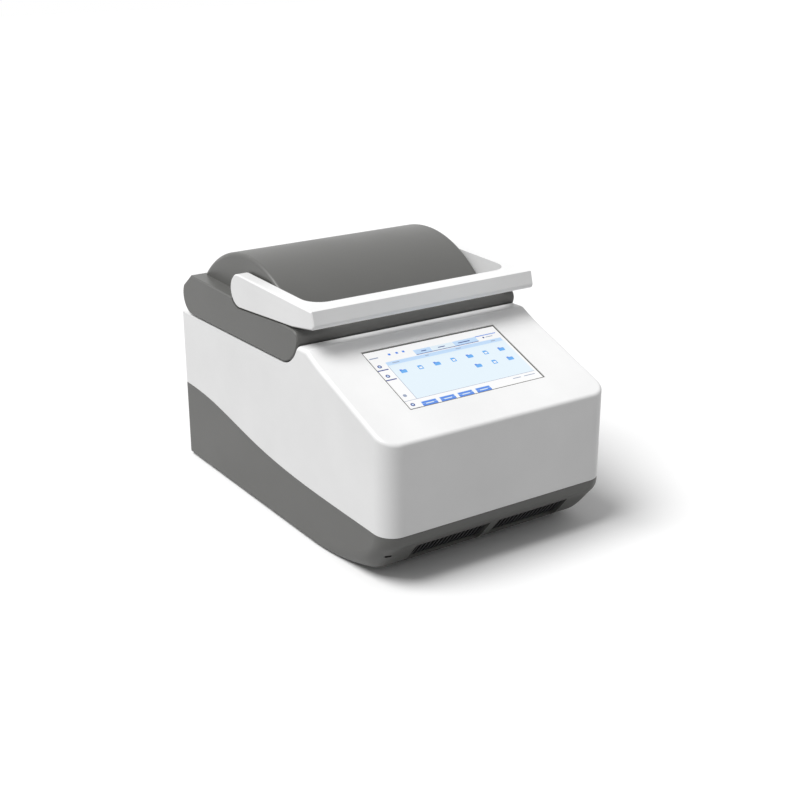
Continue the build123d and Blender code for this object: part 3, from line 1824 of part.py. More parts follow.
nodes = {
    "base_tray": make_base_tray,
    "upper_housing": make_upper_housing,
    "front_grille": make_front_grille,
    "rubber_feet": make_rubber_feet,
    "case_screws": make_case_screws,
    "display_gasket": make_display_gasket,
    "touch_glass": make_touch_glass,
    "display_panel": make_display_panel,
    "display_board": make_display_board,
    "sample_block": make_sample_block,
    "block_collar": make_block_collar,
    "peltier_modules": make_peltier_modules,
    "heat_sink": make_heat_sink,
    "chassis": make_chassis,
    "cooling_fan_frame": make_cooling_fan,
    "cooling_rotor": make_cooling_rotor,
    "exhaust_fan_frames": make_exhaust_frames,
    "exhaust_rotor_left": lambda: make_exhaust_rotor(-1),
    "exhaust_rotor_right": lambda: make_exhaust_rotor(1),
    "rear_panel": make_rear_panel,
    "power_inlet": make_power_inlet,
    "switch_frame": make_switch_frame,
    "switch_rocker": make_switch_rocker,
    "data_sockets": make_data_sockets,
    "main_board": make_main_board,
    "driver_board": make_driver_board,
    "board_parts": make_board_parts,
    "power_supply": make_power_supply,
    "hinge_brackets": make_hinge_brackets,
    "hinge_pins": make_hinge_pins,
    "lid_knuckles": make_lid_knuckles,
    "lid_cover": make_lid_cover,
    "lid_base": make_lid_base,
    "lid_screws": make_lid_screws,
    "heated_plate": make_heated_plate,
    "plate_heater": make_plate_heater,
    "plate_carrier": make_plate_carrier,
    "return_springs": make_return_springs,
    "lid_handle": make_lid_handle,
    "pivot_bushes": make_pivot_bushes,
    "handle_shafts": make_handle_shafts,
    "optics_plate": make_optics_plate,
    "scan_rails": make_scan_rails,
    "scan_carriage": make_scan_carriage,
    "scan_lenses": make_scan_lenses,
    "detector_board": make_detector_board,
    "scan_motor": make_scan_motor,
    "motor_pulley": lambda: make_pulley(-1),
    "idler_pulley": lambda: make_pulley(1),
    "scan_belt": make_scan_belt,
}

os.makedirs("parts", exist_ok=True)
for node, make in nodes.items():
    export_step(make(), f"parts/{node}.step")
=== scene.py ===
import math

import bmesh
import bpy
from bpy.props import FloatProperty, FloatVectorProperty, IntProperty, PointerProperty
from mathutils import Matrix, Vector


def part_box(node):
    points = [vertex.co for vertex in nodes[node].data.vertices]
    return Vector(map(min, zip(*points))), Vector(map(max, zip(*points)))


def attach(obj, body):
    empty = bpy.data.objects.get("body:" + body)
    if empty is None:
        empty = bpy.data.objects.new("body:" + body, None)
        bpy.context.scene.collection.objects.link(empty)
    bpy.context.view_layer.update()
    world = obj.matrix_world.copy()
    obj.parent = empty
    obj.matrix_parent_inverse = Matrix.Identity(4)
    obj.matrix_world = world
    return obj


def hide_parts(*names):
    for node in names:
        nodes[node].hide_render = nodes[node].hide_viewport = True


bl_info = {
    "name": "Real-time PCR system",
    "version": (1, 0, 0),
    "blender": (4, 5, 0),
    "location": "View3D > Sidebar > PCR system",
    "description": "Dresses the bench PCR instrument: finishes, screen, wells, fittings and stage",
    "category": "Object",
}

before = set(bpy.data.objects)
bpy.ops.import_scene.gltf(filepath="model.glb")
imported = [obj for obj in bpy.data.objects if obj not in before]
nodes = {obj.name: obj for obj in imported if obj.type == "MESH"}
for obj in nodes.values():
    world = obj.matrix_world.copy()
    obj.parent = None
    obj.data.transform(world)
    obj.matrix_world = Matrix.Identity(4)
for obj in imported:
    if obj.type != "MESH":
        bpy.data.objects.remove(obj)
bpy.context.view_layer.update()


# Sizes and colours that a user would change


def colour_property(name, description, default):
    """Colour with its name, description and default."""
    return FloatVectorProperty(
        name=name,
        description=description,
        subtype="COLOR",
        size=3,
        min=0,
        max=1,
        default=default,
    )


class CaseFinish(bpy.types.PropertyGroup):
    """Colours and surface of the mouldings."""

    white: colour_property("White moulding", "Colour of the upper housing and the handle", (0.8, 0.8, 0.8))
    grey: colour_property("Grey moulding", "Colour of the tray and the lid", (0.105, 0.105, 0.1))
    dark: colour_property("Dark moulding", "Colour of grilles, fans and inserts", (0.018, 0.018, 0.019))
    grain: FloatProperty(
        name="Grain size",
        description="Distance between the dimples of the moulded texture",
        default=0.0009,
        min=0.0002,
        max=0.005,
        unit="LENGTH",
    )
    grain_depth: FloatProperty(
        name="Grain depth",
        description="Depth of the dimples of the moulded texture",
        default=0.00003,
        min=0,
        max=0.0005,
        unit="LENGTH",
    )
    # how far edges are painted paler: rubbing wear together with a painted highlight along the edges
    wear: FloatProperty(
        name="Edge wear",
        description="How far edges are rubbed paler",
        default=0.25,
        min=0,
        max=1,
        subtype="FACTOR",
    )


class ScreenPicture(bpy.types.PropertyGroup):
    """What the lit touch screen shows."""

    brightness: FloatProperty(
        name="Brightness",
        description="Light given off by a white field",
        default=0.9,
        min=0,
        max=5,
    )
    field: colour_property("Field", "Colour of the file list", (0.8, 0.92, 1))
    band: colour_property("Band", "Colour of the head bands", (0.55, 0.75, 1))
    accent: colour_property("Accent", "Colour of the buttons", (0.04, 0.22, 0.8))
    deep: colour_property("Deep accent", "Colour of the underlines", (0.005, 0.03, 0.25))


class WellGrid(bpy.types.PropertyGroup):
    """The grid of wells in the block and of windows over them."""

    columns: IntProperty(
        name="Columns",
        description="Wells across the instrument",
        default=8,
        min=1,
        max=24,
    )
    rows: IntProperty(name="Rows", description="Wells from front to rear", default=6, min=1, max=16)
    pitch: FloatProperty(
        name="Pitch",
        description="Distance between wells",
        default=0.009,
        min=0.002,
        unit="LENGTH",
    )
    mouth: FloatProperty(
        name="Mouth radius",
        description="Radius of a well at the top",
        default=0.00315,
        min=0.001,
        unit="LENGTH",
    )
    tip: FloatProperty(
        name="Tip radius",
        description="Radius of a well at the bottom",
        default=0.0013,
        min=0.0005,
        unit="LENGTH",
    )
    depth: FloatProperty(
        name="Depth",
        description="Depth of a well",
        default=0.0129,
        min=0.002,
        unit="LENGTH",
    )
    window: FloatProperty(
        name="Window radius",
        description="Radius of a window over a well",
        default=0.0018,
        min=0.0005,
        unit="LENGTH",
    )
    sides: IntProperty(name="Sides", description="Sides of a round well", default=24, min=8, max=64)


class StageSetting(bpy.types.PropertyGroup):
    """Camera and light."""

    camera_place: FloatVectorProperty(
        name="Camera place",
        description="Where the camera stands",
        subtype="TRANSLATION",
        size=3,
        default=(-0.7125, -1.0848, 0.59135),
        unit="LENGTH",
    )
    azimuth: FloatProperty(
        name="Azimuth",
        description="Turn of the view from straight ahead",
        default=math.radians(-34.045),
        subtype="ANGLE",
    )
    elevation: FloatProperty(
        name="Elevation",
        description="Tilt of the view downwards",
        default=math.radians(20.762),
        subtype="ANGLE",
    )
    lens: FloatProperty(
        name="Lens",
        description="Focal length in millimetres",
        default=59.86,
        min=10,
        max=300,
    )
    ambient: FloatProperty(
        name="Room light",
        description="Strength of the even light",
        default=0.42,
        min=0,
        max=5,
    )
    key: FloatProperty(
        name="Main light",
        description="Strength of the soft main lamp",
        default=3.0,
        min=0,
        max=20,
    )
    key_from: FloatVectorProperty(
        name="Main light from",
        description="Direction that the main light comes from",
        subtype="DIRECTION",
        size=3,
        default=(-1.4, 0.2, 2.5),
    )
    softness: FloatProperty(
        name="Softness",
        description="Width of the main light",
        default=math.radians(35),
        subtype="ANGLE",
    )


# Shared surface effects, each a node group with named inputs


def new_group(name, inputs, outputs):
    """Shader node group with its sockets, and its input and output nodes."""
    group = bpy.data.node_groups.new(name, "ShaderNodeTree")
    for label, kind, value in inputs:
        socket = group.interface.new_socket(label, in_out="INPUT", socket_type=kind)
        socket.default_value = value
    for label, kind in outputs:
        group.interface.new_socket(label, in_out="OUTPUT", socket_type=kind)
    source = group.nodes.new("NodeGroupInput")
    result = group.nodes.new("NodeGroupOutput")
    return group, source, result


def node(tree, kind, values=(), **settings):
    """Node of a tree with its settings and the values of its numbered or named inputs."""
    item = tree.nodes.new(kind)
    for key, value in settings.items():
        setattr(item, key, value)
    for key, value in dict(values).items():
        item.inputs[key].default_value = value
    return item


def stretched(tree, from_low, from_high, to_low, to_high):
    """Map Range node with its two ranges."""
    ranges = {"From Min": from_low, "From Max": from_high, "To Min": to_low, "To Max": to_high}
    return node(tree, "ShaderNodeMapRange", ranges)


def grain_group():
    """Pebbled grain of a mould: a height, and flecks that vary colour and gloss."""
    group, source, result = new_group(
        "Moulded grain",
        [("Scale", "NodeSocketFloat", 1100.0)],
        [("Height", "NodeSocketFloat"), ("Fleck", "NodeSocketFloat")],
    )
    place = node(group, "ShaderNodeTexCoord")
    fine = node(group, "ShaderNodeTexNoise", {"Detail": 2.0, "Roughness": 0.55})
    pebble = node(group, "ShaderNodeTexVoronoi", {"Randomness": 1.0}, feature="SMOOTH_F1")
    pebble.inputs["Smoothness"].default_value = 0.7
    broad = node(group, "ShaderNodeTexNoise", {"Scale": 14.0, "Detail": 3.0})
    blend = node(group, "ShaderNodeMath", {1: 0.5}, operation="MULTIPLY_ADD")
    for texture in (fine, pebble, broad):
        group.links.new(place.outputs["Object"], texture.inputs["Vector"])
    group.links.new(source.outputs["Scale"], fine.inputs["Scale"])
    group.links.new(source.outputs["Scale"], pebble.inputs["Scale"])
    group.links.new(pebble.outputs["Distance"], blend.inputs[0])
    group.links.new(fine.outputs["Fac"], blend.inputs[2])
    group.links.new(blend.outputs[0], result.inputs["Height"])
    group.links.new(broad.outputs["Fac"], result.inputs["Fleck"])
    return group


def wear_and_highlight_group():
    """Mask of convex edges, broken up as rubbing leaves them; the edges it picks out are painted paler,
    partly as rubbing wear and partly as a painted highlight along the edges.
    """
    group, source, result = new_group(
        "Rubbed edges and painted highlight",
        [("Radius", "NodeSocketFloat", 0.0006), ("Amount", "NodeSocketFloat", 0.3)],
        [("Mask", "NodeSocketFloat")],
    )
    place = node(group, "ShaderNodeTexCoord")
    rounded = node(group, "ShaderNodeBevel", samples=4)
    flat = node(group, "ShaderNodeNewGeometry")
    dot = node(group, "ShaderNodeVectorMath", operation="DOT_PRODUCT")
    # edges that bend away from the face get the painted highlight and the wear
    edge = stretched(group, 0.995, 0.75, 0.0, 1.0)
    patch = node(group, "ShaderNodeTexNoise", {"Scale": 160.0, "Detail": 4.0})
    broken = stretched(group, 0.35, 0.65, 0.25, 1.0)
    both = node(group, "ShaderNodeMath", operation="MULTIPLY")
    scaled = node(group, "ShaderNodeMath", operation="MULTIPLY", use_clamp=True)
    group.links.new(source.outputs["Radius"], rounded.inputs["Radius"])
    group.links.new(rounded.outputs["Normal"], dot.inputs[0])
    group.links.new(flat.outputs["Normal"], dot.inputs[1])
    group.links.new(dot.outputs["Value"], edge.inputs["Value"])
    group.links.new(place.outputs["Object"], patch.inputs["Vector"])
    group.links.new(patch.outputs["Fac"], broken.inputs["Value"])
    group.links.new(edge.outputs["Result"], both.inputs[0])
    group.links.new(broken.outputs["Result"], both.inputs[1])
    group.links.new(both.outputs[0], scaled.inputs[0])
    group.links.new(source.outputs["Amount"], scaled.inputs[1])
    group.links.new(scaled.outputs[0], result.inputs["Mask"])
    return group


def brushed_group():
    """Lines left by brushing or rolling along one axis."""
    group, source, result = new_group(
        "Brushed lines",
        [("Scale", "NodeSocketFloat", 900.0), ("Stretch", "NodeSocketVector", (0.03, 1.0, 1.0))],
        [("Height", "NodeSocketFloat"), ("Streak", "NodeSocketFloat")],
    )
    place = node(group, "ShaderNodeTexCoord")
    squeeze = node(group, "ShaderNodeVectorMath", operation="MULTIPLY")
    lines = node(group, "ShaderNodeTexNoise", {"Detail": 2.0})
    broad = node(group, "ShaderNodeTexNoise", {"Scale": 30.0, "Detail": 2.0})
    group.links.new(place.outputs["Object"], squeeze.inputs[0])
    group.links.new(source.outputs["Stretch"], squeeze.inputs[1])
    group.links.new(squeeze.outputs[0], lines.inputs["Vector"])
    group.links.new(source.outputs["Scale"], lines.inputs["Scale"])
    group.links.new(squeeze.outputs[0], broad.inputs["Vector"])
    group.links.new(lines.outputs["Fac"], result.inputs["Height"])
    group.links.new(broad.outputs["Fac"], result.inputs["Streak"])
    return group


def traces_group():
    """Copper traces under the lacquer of a circuit board."""
    group, source, result = new_group(
        "Board traces", [("Scale", "NodeSocketFloat", 260.0)], [("Mask", "NodeSocketFloat")]
    )
    place = node(group, "ShaderNodeTexCoord")
    cells = node(group, "ShaderNodeTexVoronoi", feature="DISTANCE_TO_EDGE")
    blocks = node(group, "ShaderNodeTexVoronoi", {"Randomness": 0.4}, distance="CHEBYCHEV", feature="F1")
    near = stretched(group, 0.1, 0.06, 0.0, 1.0)
    pads = stretched(group, 0.16, 0.12, 0.0, 1.0)
    either = node(group, "ShaderNodeMath", operation="MAXIMUM")
    for texture in (cells, blocks):
        group.links.new(place.outputs["Object"], texture.inputs["Vector"])
        group.links.new(source.outputs["Scale"], texture.inputs["Scale"])
    group.links.new(cells.outputs["Distance"], near.inputs["Value"])
    group.links.new(blocks.outputs["Distance"], pads.inputs["Value"])
    group.links.new(near.outputs["Result"], either.inputs[0])
    group.links.new(pads.outputs["Result"], either.inputs[1])
    group.links.new(either.outputs[0], result.inputs["Mask"])
    return group


def shared(name):
    """A shared effect's node group, built when it is first asked for."""
    makers = {
        "Moulded grain": grain_group,
        "Rubbed edges and painted highlight": wear_and_highlight_group,
        "Brushed lines": brushed_group,
        "Board traces": traces_group,
    }
    return bpy.data.node_groups.get(name) or makers[name]()


# Materials


def new_material(name, **inputs):
    """Material with a Principled surface and plain values on its own sockets."""
    material = bpy.data.materials.new(name)
    material.use_nodes = True
    surface = material.node_tree.nodes["Principled BSDF"]
    for key, value in inputs.items():
        surface.inputs[key.replace("_", " ")].default_value = value
    return material, material.node_tree, surface


def effect(tree, name, values=()):
    """A shared effect placed in a material with its own values."""
    item = tree.nodes.new("ShaderNodeGroup")
    item.node_tree = shared(name)
    for key, value in dict(values).items():
        item.inputs[key].default_value = value
    return item


def mixed(tree, mask, first, second):
    """Colour that goes from the first to the second with a mask."""
    mix = node(tree, "ShaderNodeMix", data_type="RGBA")
    tree.links.new(mask, mix.inputs["Factor"])
    for socket, value in ((mix.inputs[6], first), (mix.inputs[7], second)):
        if isinstance(value, bpy.types.NodeSocket):
            tree.links.new(value, socket)
        else:
            socket.default_value = (*value, 1)
    return mix.outputs[2]


def spread(tree, value, low, high):
    """Noise value, most of which lies between 0.3 and 0.7, stretched to a range."""
    ranged = stretched(tree, 0.3, 0.7, low, high)
    tree.links.new(value, ranged.inputs["Value"])
    return ranged.outputs["Result"]


def bumped(tree, surface, height, depth):
    """Bump from a height on a surface."""
    bump = node(tree, "ShaderNodeBump", {"Strength": 1.0, "Distance": depth})
    tree.links.new(height, bump.inputs["Height"])
    tree.links.new(bump.outputs["Normal"], surface.inputs["Normal"])


def moulded(name, colour, rough, finish, grain=1.0, wear=1.0):
    """Moulded plastic with grain, slight mottling, and edges painted paler, partly as rubbing wear and partly
    as a painted highlight.
    """
    material, tree, surface = new_material(name, IOR=1.49)
    pebble = effect(tree, "Moulded grain", {"Scale": grain / finish.grain})
    rubbed_and_highlit = effect(tree, "Rubbed edges and painted highlight", {"Amount": finish.wear * wear})
    darker = tuple(c * 0.965 for c in colour)
    lighter = tuple(min(1, c * 1.02 + 0.002) for c in colour)
    # paler edge colour: rubbing wear together with a painted highlight along the edges
    worn_and_highlit = tuple(min(1, c * 1.15 + 0.02) for c in colour)
    fleck = spread(tree, pebble.outputs["Fleck"], 0, 1)
    ground = mixed(tree, fleck, darker, lighter)
    tree.links.new(mixed(tree, rubbed_and_highlit.outputs["Mask"], ground, worn_and_highlit), surface.inputs["Base Color"])
    gloss = spread(tree, pebble.outputs["Fleck"], rough - 0.04, rough + 0.05)
    tree.links.new(gloss, surface.inputs["Roughness"])
    bumped(tree, surface, pebble.outputs["Height"], finish.grain_depth)
    return material


def metal(name, colour, rough, stretch, depth=0.00001, scale=900.0):
    """Bare metal with brushed, rolled or blasted marks, and edges painted brighter as wear and as a painted
    highlight.
    """
    material, tree, surface = new_material(name, Metallic=1.0)
    lines = effect(tree, "Brushed lines", {"Scale": scale, "Stretch": stretch})
    rubbed_and_highlit = effect(tree, "Rubbed edges and painted highlight", {"Amount": 0.5})
    streak = spread(tree, lines.outputs["Streak"], 0, 1)
    ground = mixed(tree, streak, tuple(c * 0.9 for c in colour), colour)
    # brighter edge colour: wear together with a painted highlight along the edges
    bright = tuple(min(1, c * 1.15) for c in colour)
    tree.links.new(mixed(tree, rubbed_and_highlit.outputs["Mask"], ground, bright), surface.inputs["Base Color"])
    gloss = spread(tree, lines.outputs["Height"], rough - 0.06, rough + 0.08)
    tree.links.new(gloss, surface.inputs["Roughness"])
    bumped(tree, surface, lines.outputs["Height"], depth)
    return material


def board_material():
    """Green lacquered circuit board with paler traces."""
    material, tree, surface = new_material("circuit board", Roughness=0.35, IOR=1.5, Coat_Weight=0.4)
    traces = effect(tree, "Board traces", {"Scale": 260.0})
    colour = mixed(tree, traces.outputs["Mask"], (0.006, 0.07, 0.02), (0.03, 0.2, 0.06))
    tree.links.new(colour, surface.inputs["Base Color"])
    bumped(tree, surface, traces.outputs["Mask"], 0.00002)
    return material


def rubber_material(finish):
    """Black rubber with a dusty bloom."""
    material, tree, surface = new_material("foot rubber", IOR=1.5)
    grain = effect(tree, "Moulded grain", {"Scale": 900.0})
    bloom = spread(tree, grain.outputs["Fleck"], 0, 1)
    colour = mixed(tree, bloom, (0.012, 0.012, 0.012), (0.03, 0.03, 0.029))
    tree.links.new(colour, surface.inputs["Base Color"])
    tree.links.new(spread(tree, grain.outputs["Fleck"], 0.7, 0.9), surface.inputs["Roughness"])
    bumped(tree, surface, grain.outputs["Height"], 0.00005)
    return material


def foil_material():
    """Amber heater foil with its dark track."""
    material, tree, surface = new_material("heater foil", Roughness=0.3, IOR=1.6, Coat_Weight=0.3)
    place = node(tree, "ShaderNodeTexCoord")
    wave = node(tree, "ShaderNodeTexWave", {"Scale": 140.0, "Distortion": 0.0}, bands_direction="X")
    track = node(tree, "ShaderNodeMapRange", {"From Min": 0.45, "From Max": 0.55})
    tree.links.new(place.outputs["Object"], wave.inputs["Vector"])
    tree.links.new(wave.outputs["Fac"], track.inputs["Value"])
    colour = mixed(tree, track.outputs["Result"], (0.45, 0.16, 0.02), (0.2, 0.08, 0.03))
    tree.links.new(colour, surface.inputs["Base Color"])
    return material


def glass_material():
    """Clear cover glass of the screen."""
    material, tree, surface = new_material(
        "screen glass", IOR=1.5, Transmission_Weight=1.0, Metallic=0.0, Alpha=0.12
    )
    grain = effect(tree, "Moulded grain", {"Scale": 400.0})
    tree.links.new(spread(tree, grain.outputs["Fleck"], 0.04, 0.09), surface.inputs["Roughness"])
    colour = mixed(tree, grain.outputs["Fleck"], (0.9, 0.95, 1), (0.95, 0.97, 1))
    tree.links.new(colour, surface.inputs["Base Color"])
    return material


def coated_glass():
    """Dark lens glass with a coloured coating."""
    material, tree, surface = new_material("coated lens", IOR=1.6, Coat_Weight=1.0)
    grain = effect(tree, "Moulded grain", {"Scale": 600.0})
    colour = mixed(tree, grain.outputs["Fleck"], (0.015, 0.01, 0.05), (0.02, 0.03, 0.09))
    tree.links.new(colour, surface.inputs["Base Color"])
    tree.links.new(spread(tree, grain.outputs["Fleck"], 0.03, 0.07), surface.inputs["Roughness"])
    return material


def lit_material(name, colour, brightness):
    """Field of the lit screen, very slightly mottled."""
    material, tree, surface = new_material(
        name, Roughness=0.18, IOR=1.5, Emission_Strength=brightness, Coat_Weight=0.3
    )
    grain = effect(tree, "Moulded grain", {"Scale": 3000.0})
    shown = mixed(tree, grain.outputs["Fleck"], tuple(c * 0.985 for c in colour), colour)
    tree.links.new(shown, surface.inputs["Emission Color"])
    dark = mixed(tree, grain.outputs["Fleck"], (0.02, 0.02, 0.022), (0.025, 0.025, 0.027))
    tree.links.new(dark, surface.inputs["Base Color"])
    return material


def finish_node(name, material):
    """Gives a CAD node one material."""
    slots = nodes[name].material_slots
    if not slots:
        nodes[name].data.materials.append(material)
    for item in slots:
        item.material = material


# Meshes

same_place = 1e-6


def new_piece(name, mesh, body=None):
    """Object of a mesh, linked to the scene and riding on a body."""
    piece = bpy.data.objects.new(name, mesh)
    bpy.context.scene.collection.objects.link(piece)
    if body:
        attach(piece, body)
    return piece


def finished_mesh(name, shape, materials=(), smooth=None):
    """Mesh of a bmesh with outward faces, smooth up to an angle where one is given."""
    bmesh.ops.remove_doubles(shape, verts=shape.verts, dist=same_place)
    bmesh.ops.recalc_face_normals(shape, faces=shape.faces)
    mesh = bpy.data.meshes.new(name)
    shape.to_mesh(mesh)
    shape.free()
    for material in materials:
        mesh.materials.append(material)
    if smooth is not None:
        mesh.shade_smooth()
        mesh.set_sharp_from_angle(angle=smooth)
    return mesh


def ring(shape, radius, height, sides, turn=0.0):
    """Ring of vertices at a height round Z, the first at a turn from X."""
    angles = [turn + 2 * math.pi * index / sides for index in range(sides)]
    return [shape.verts.new((radius * math.cos(angle), radius * math.sin(angle), height)) for angle in angles]


def bridge(shape, low, high):
    """Band of faces between two rings with as many vertices."""
    count = len(low)
    for index in range(count):
        following = (index + 1) % count
        shape.faces.new((low[index], low[following], high[following], high[index]))


def lathe(name, profile, sides, materials, smooth=math.radians(35)):
    """Turned body round Z from a profile of radius and height, closed where the radius is zero."""
    shape = bmesh.new()
    previous = None
    for radius, height in profile:
        if radius == 0:
            current = [shape.verts.new((0, 0, height))] * sides
        else:
            current = ring(shape, radius, height, sides)
        if previous:
            for index in range(sides):
                following = (index + 1) % sides
                corners = (previous[index], previous[following], current[following], current[index])
                corners = tuple(dict.fromkeys(corners))
                if len(corners) > 2:
                    shape.faces.new(corners)
        previous = current
    return finished_mesh(name, shape, materials, smooth)


def copies_tree():
    """Geometry Nodes tree that sets a copy of an object on each vertex of a mesh."""
    tree = bpy.data.node_groups.get("Copies on places")
    if tree:
        return tree
    tree = bpy.data.node_groups.new("Copies on places", "GeometryNodeTree")
    face = tree.interface
    face.new_socket("Geometry", in_out="OUTPUT", socket_type="NodeSocketGeometry")
    face.new_socket("Geometry", in_out="INPUT", socket_type="NodeSocketGeometry")
    face.new_socket("Copy", in_out="INPUT", socket_type="NodeSocketObject")
    face.new_socket("Finish", in_out="INPUT", socket_type="NodeSocketMaterial")
    source = tree.nodes.new("NodeGroupInput")
    result = tree.nodes.new("NodeGroupOutput")
    info = tree.nodes.new("GeometryNodeObjectInfo")
    copies = tree.nodes.new("GeometryNodeInstanceOnPoints")
    real = tree.nodes.new("GeometryNodeRealizeInstances")
    merged = node(tree, "GeometryNodeMergeByDistance", {"Distance": same_place})
    painted = tree.nodes.new("GeometryNodeSetMaterial")
    tree.links.new(source.outputs["Copy"], info.inputs["Object"])
    tree.links.new(source.outputs["Geometry"], copies.inputs["Points"])
    tree.links.new(info.outputs["Geometry"], copies.inputs["Instance"])
    tree.links.new(copies.outputs["Instances"], real.inputs["Geometry"])
    tree.links.new(real.outputs["Geometry"], merged.inputs["Geometry"])
    tree.links.new(merged.outputs["Geometry"], painted.inputs["Geometry"])
    tree.links.new(source.outputs["Finish"], painted.inputs["Material"])
    tree.links.new(painted.outputs["Geometry"], result.inputs["Geometry"])
    return tree


def copies(name, places, master, finish, body):
    """One mesh of copies of a master mesh, standing on the places."""
    tree = copies_tree()
    host_mesh = bpy.data.meshes.new(name)
    host_mesh.from_pydata([tuple(place) for place in places], [], [])
    host = new_piece(name, host_mesh)
    original = new_piece(name + "_master", master)
    sockets = tree.interface.items_tree
    identifiers = {item.name: item.identifier for item in sockets if item.in_out == "INPUT"}
    modifier = host.modifiers.new("Copies", "NODES")
    modifier.node_group = tree
    modifier[identifiers["Copy"]] = original
    modifier[identifiers["Finish"]] = finish
    bpy.context.view_layer.update()
    evaluated = host.evaluated_get(bpy.context.evaluated_depsgraph_get())
    mesh = bpy.data.meshes.new_from_object(evaluated)
    host.modifiers.remove(modifier)
    host.data = mesh
    bpy.data.objects.remove(original)
    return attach(host, body)


def bar(shape, low, high, bevel=0.0):
    """Box between two corners, its edges rounded by a bevel."""
    made = bmesh.ops.create_cube(shape, size=1)
    size = Vector(high) - Vector(low)
    middle = (Vector(high) + Vector(low)) / 2
    bmesh.ops.scale(shape, vec=size, verts=made["verts"])
    bmesh.ops.translate(shape, vec=middle, verts=made["verts"])
    if bevel:
        edges = list({edge for vert in made["verts"] for edge in vert.link_edges})
        bmesh.ops.bevel(shape, geom=edges, offset=bevel, segments=2, profile=0.5, affect="EDGES")


# Operators


class PieceOperator:
    """What all operators share."""

    bl_options = {"REGISTER", "UNDO"}


class PCR_OT_case(PieceOperator, bpy.types.Operator):
    """Finishes of the white and grey mouldings outside"""

    bl_idname = "pcr.case"
    bl_label = "Case and lid mouldings"

    def execute(self, context):
        finish = context.scene.pcr_finish
        white = moulded("white moulding", tuple(finish.white), 0.38, finish)
        # the handle's edges get more of the painted highlight and wear
        handle = moulded("handle moulding", tuple(finish.white), 0.34, finish, wear=1.4)
        grey = moulded("grey moulding", tuple(finish.grey), 0.45, finish)
        lid = moulded("lid moulding", tuple(finish.grey), 0.4, finish)
        under = moulded("lid underside", tuple(c * 0.6 for c in finish.grey), 0.5, finish)
        finish_node("upper_housing", white)
        finish_node("lid_handle", handle)
        finish_node("base_tray", grey)
        finish_node("lid_cover", lid)
        finish_node("lid_base", under)
        return {"FINISHED"}


class PCR_OT_inner(PieceOperator, bpy.types.Operator):
    """Finishes of the dark plastic, metal, board and rubber parts"""

    bl_idname = "pcr.inner"
    bl_label = "Inner parts"

    def execute(self, context):
        finish = context.scene.pcr_finish
        # the dark moulding's edges get less of the painted highlight and wear
        dark = moulded("dark moulding", tuple(finish.dark), 0.5, finish, wear=0.6)
        collar = moulded("collar moulding", tuple(c * 2.5 for c in finish.dark), 0.55, finish, grain=0.6)
        rocker = moulded("rocker moulding", (0.012, 0.012, 0.012), 0.22, finish, grain=2.0)
        bearing = moulded("bearing moulding", (0.62, 0.6, 0.52), 0.35, finish, grain=2.0)
        ceramic = moulded("module ceramic", (0.8, 0.78, 0.72), 0.6, finish, grain=3.0)
        package = moulded("component package", (0.02, 0.02, 0.022), 0.45, finish, grain=3.0)
        gasket = moulded("screen gasket", (0.12, 0.12, 0.11), 0.6, finish, grain=2.0)
        black = moulded("optics black", (0.01, 0.01, 0.01), 0.6, finish, grain=2.0)
        steel = metal("zinc plated steel", (0.52, 0.53, 0.54), 0.36, (0.05, 1.0, 1.0))
        ground = metal("ground steel", (0.62, 0.62, 0.63), 0.18, (0.02, 1.0, 1.0))
        blasted = metal("blasted aluminium", (0.72, 0.73, 0.74), 0.42, (1.0, 1.0, 1.0), 0.00002, 1600.0)
        shell = metal("plated shell", (0.7, 0.7, 0.71), 0.2, (1.0, 0.1, 1.0))
        board = board_material()
        finishes = (
            (dark, ("front_grille", "cooling_fan_frame", "cooling_rotor", "exhaust_fan_frames")),
            (dark, ("exhaust_rotor_left", "exhaust_rotor_right", "power_inlet", "switch_frame", "scan_belt")),
            (steel, ("case_screws", "lid_screws", "chassis", "hinge_brackets", "lid_knuckles")),
            (steel, ("power_supply", "rear_panel", "return_springs", "display_panel")),
            (ground, ("hinge_pins", "handle_shafts", "scan_rails")),
            (blasted, ("sample_block", "heat_sink", "heated_plate")),
            (blasted, ("optics_plate", "plate_carrier", "scan_motor")),
            (board, ("display_board", "main_board", "driver_board", "detector_board")),
            (black, ("scan_carriage", "scan_lenses")),
            (bearing, ("pivot_bushes", "motor_pulley", "idler_pulley")),
            (collar, ("block_collar",)),
            (rocker, ("switch_rocker",)),
            (ceramic, ("peltier_modules",)),
            (package, ("board_parts",)),
            (gasket, ("display_gasket",)),
            (shell, ("data_sockets",)),
            (foil_material(), ("plate_heater",)),
            (rubber_material(finish), ("rubber_feet",)),
            (glass_material(), ("touch_glass",)),
        )
        for material, names in finishes:
            for name in names:
                finish_node(name, material)
        return {"FINISHED"}


# The screen picture's layout, in millimetres from the lower left corner of the opening

screen_width = 157.5
screen_height = 88.7
covered_rim = 1.4
window_rise = 2.5
window_gap = 0.02
window_bevel = 0.3
level_step = 0.03
list_left = 15.6
list_right = 153.4
list_low = 13
list_high = 64
rule_width = 0.5
head_band_right = 152.6
head_band_high = 69
tab_spans = ((52.4, 72), (72.6, 98), (98.6, 127))
tab_low = 70.8
tab_high = 77.5
tab_underline = 0.8
account_line = (126.6, 76.8, 152, 77.9)
sidebar_left = 0.4
sidebar_right = 13.3
sidebar_middle = 6.9
sidebar_tabs = (58.6, 43.8, 0.2)
sidebar_tab_height = 12.6
sidebar_bar = 1.5
sidebar_page = 20.2
button_left = 16
button_pitch = 20.6
button_width = 16.8
button_low = 0.9
button_high = 7.8
file_pitch = 19.3
file_rows = ((26, 52.4, 7), (103.2, 36.9, 3))
head_marks = (25, 33.6, 41)
head_mark_size = 2.6
tab_labels = ((60, 66), (80, 88), (104, 118))
column_labels = ((22, 30), (60, 64), (96, 102), (139, 144))
status_labels = ((124.5, 134), (138, 151))


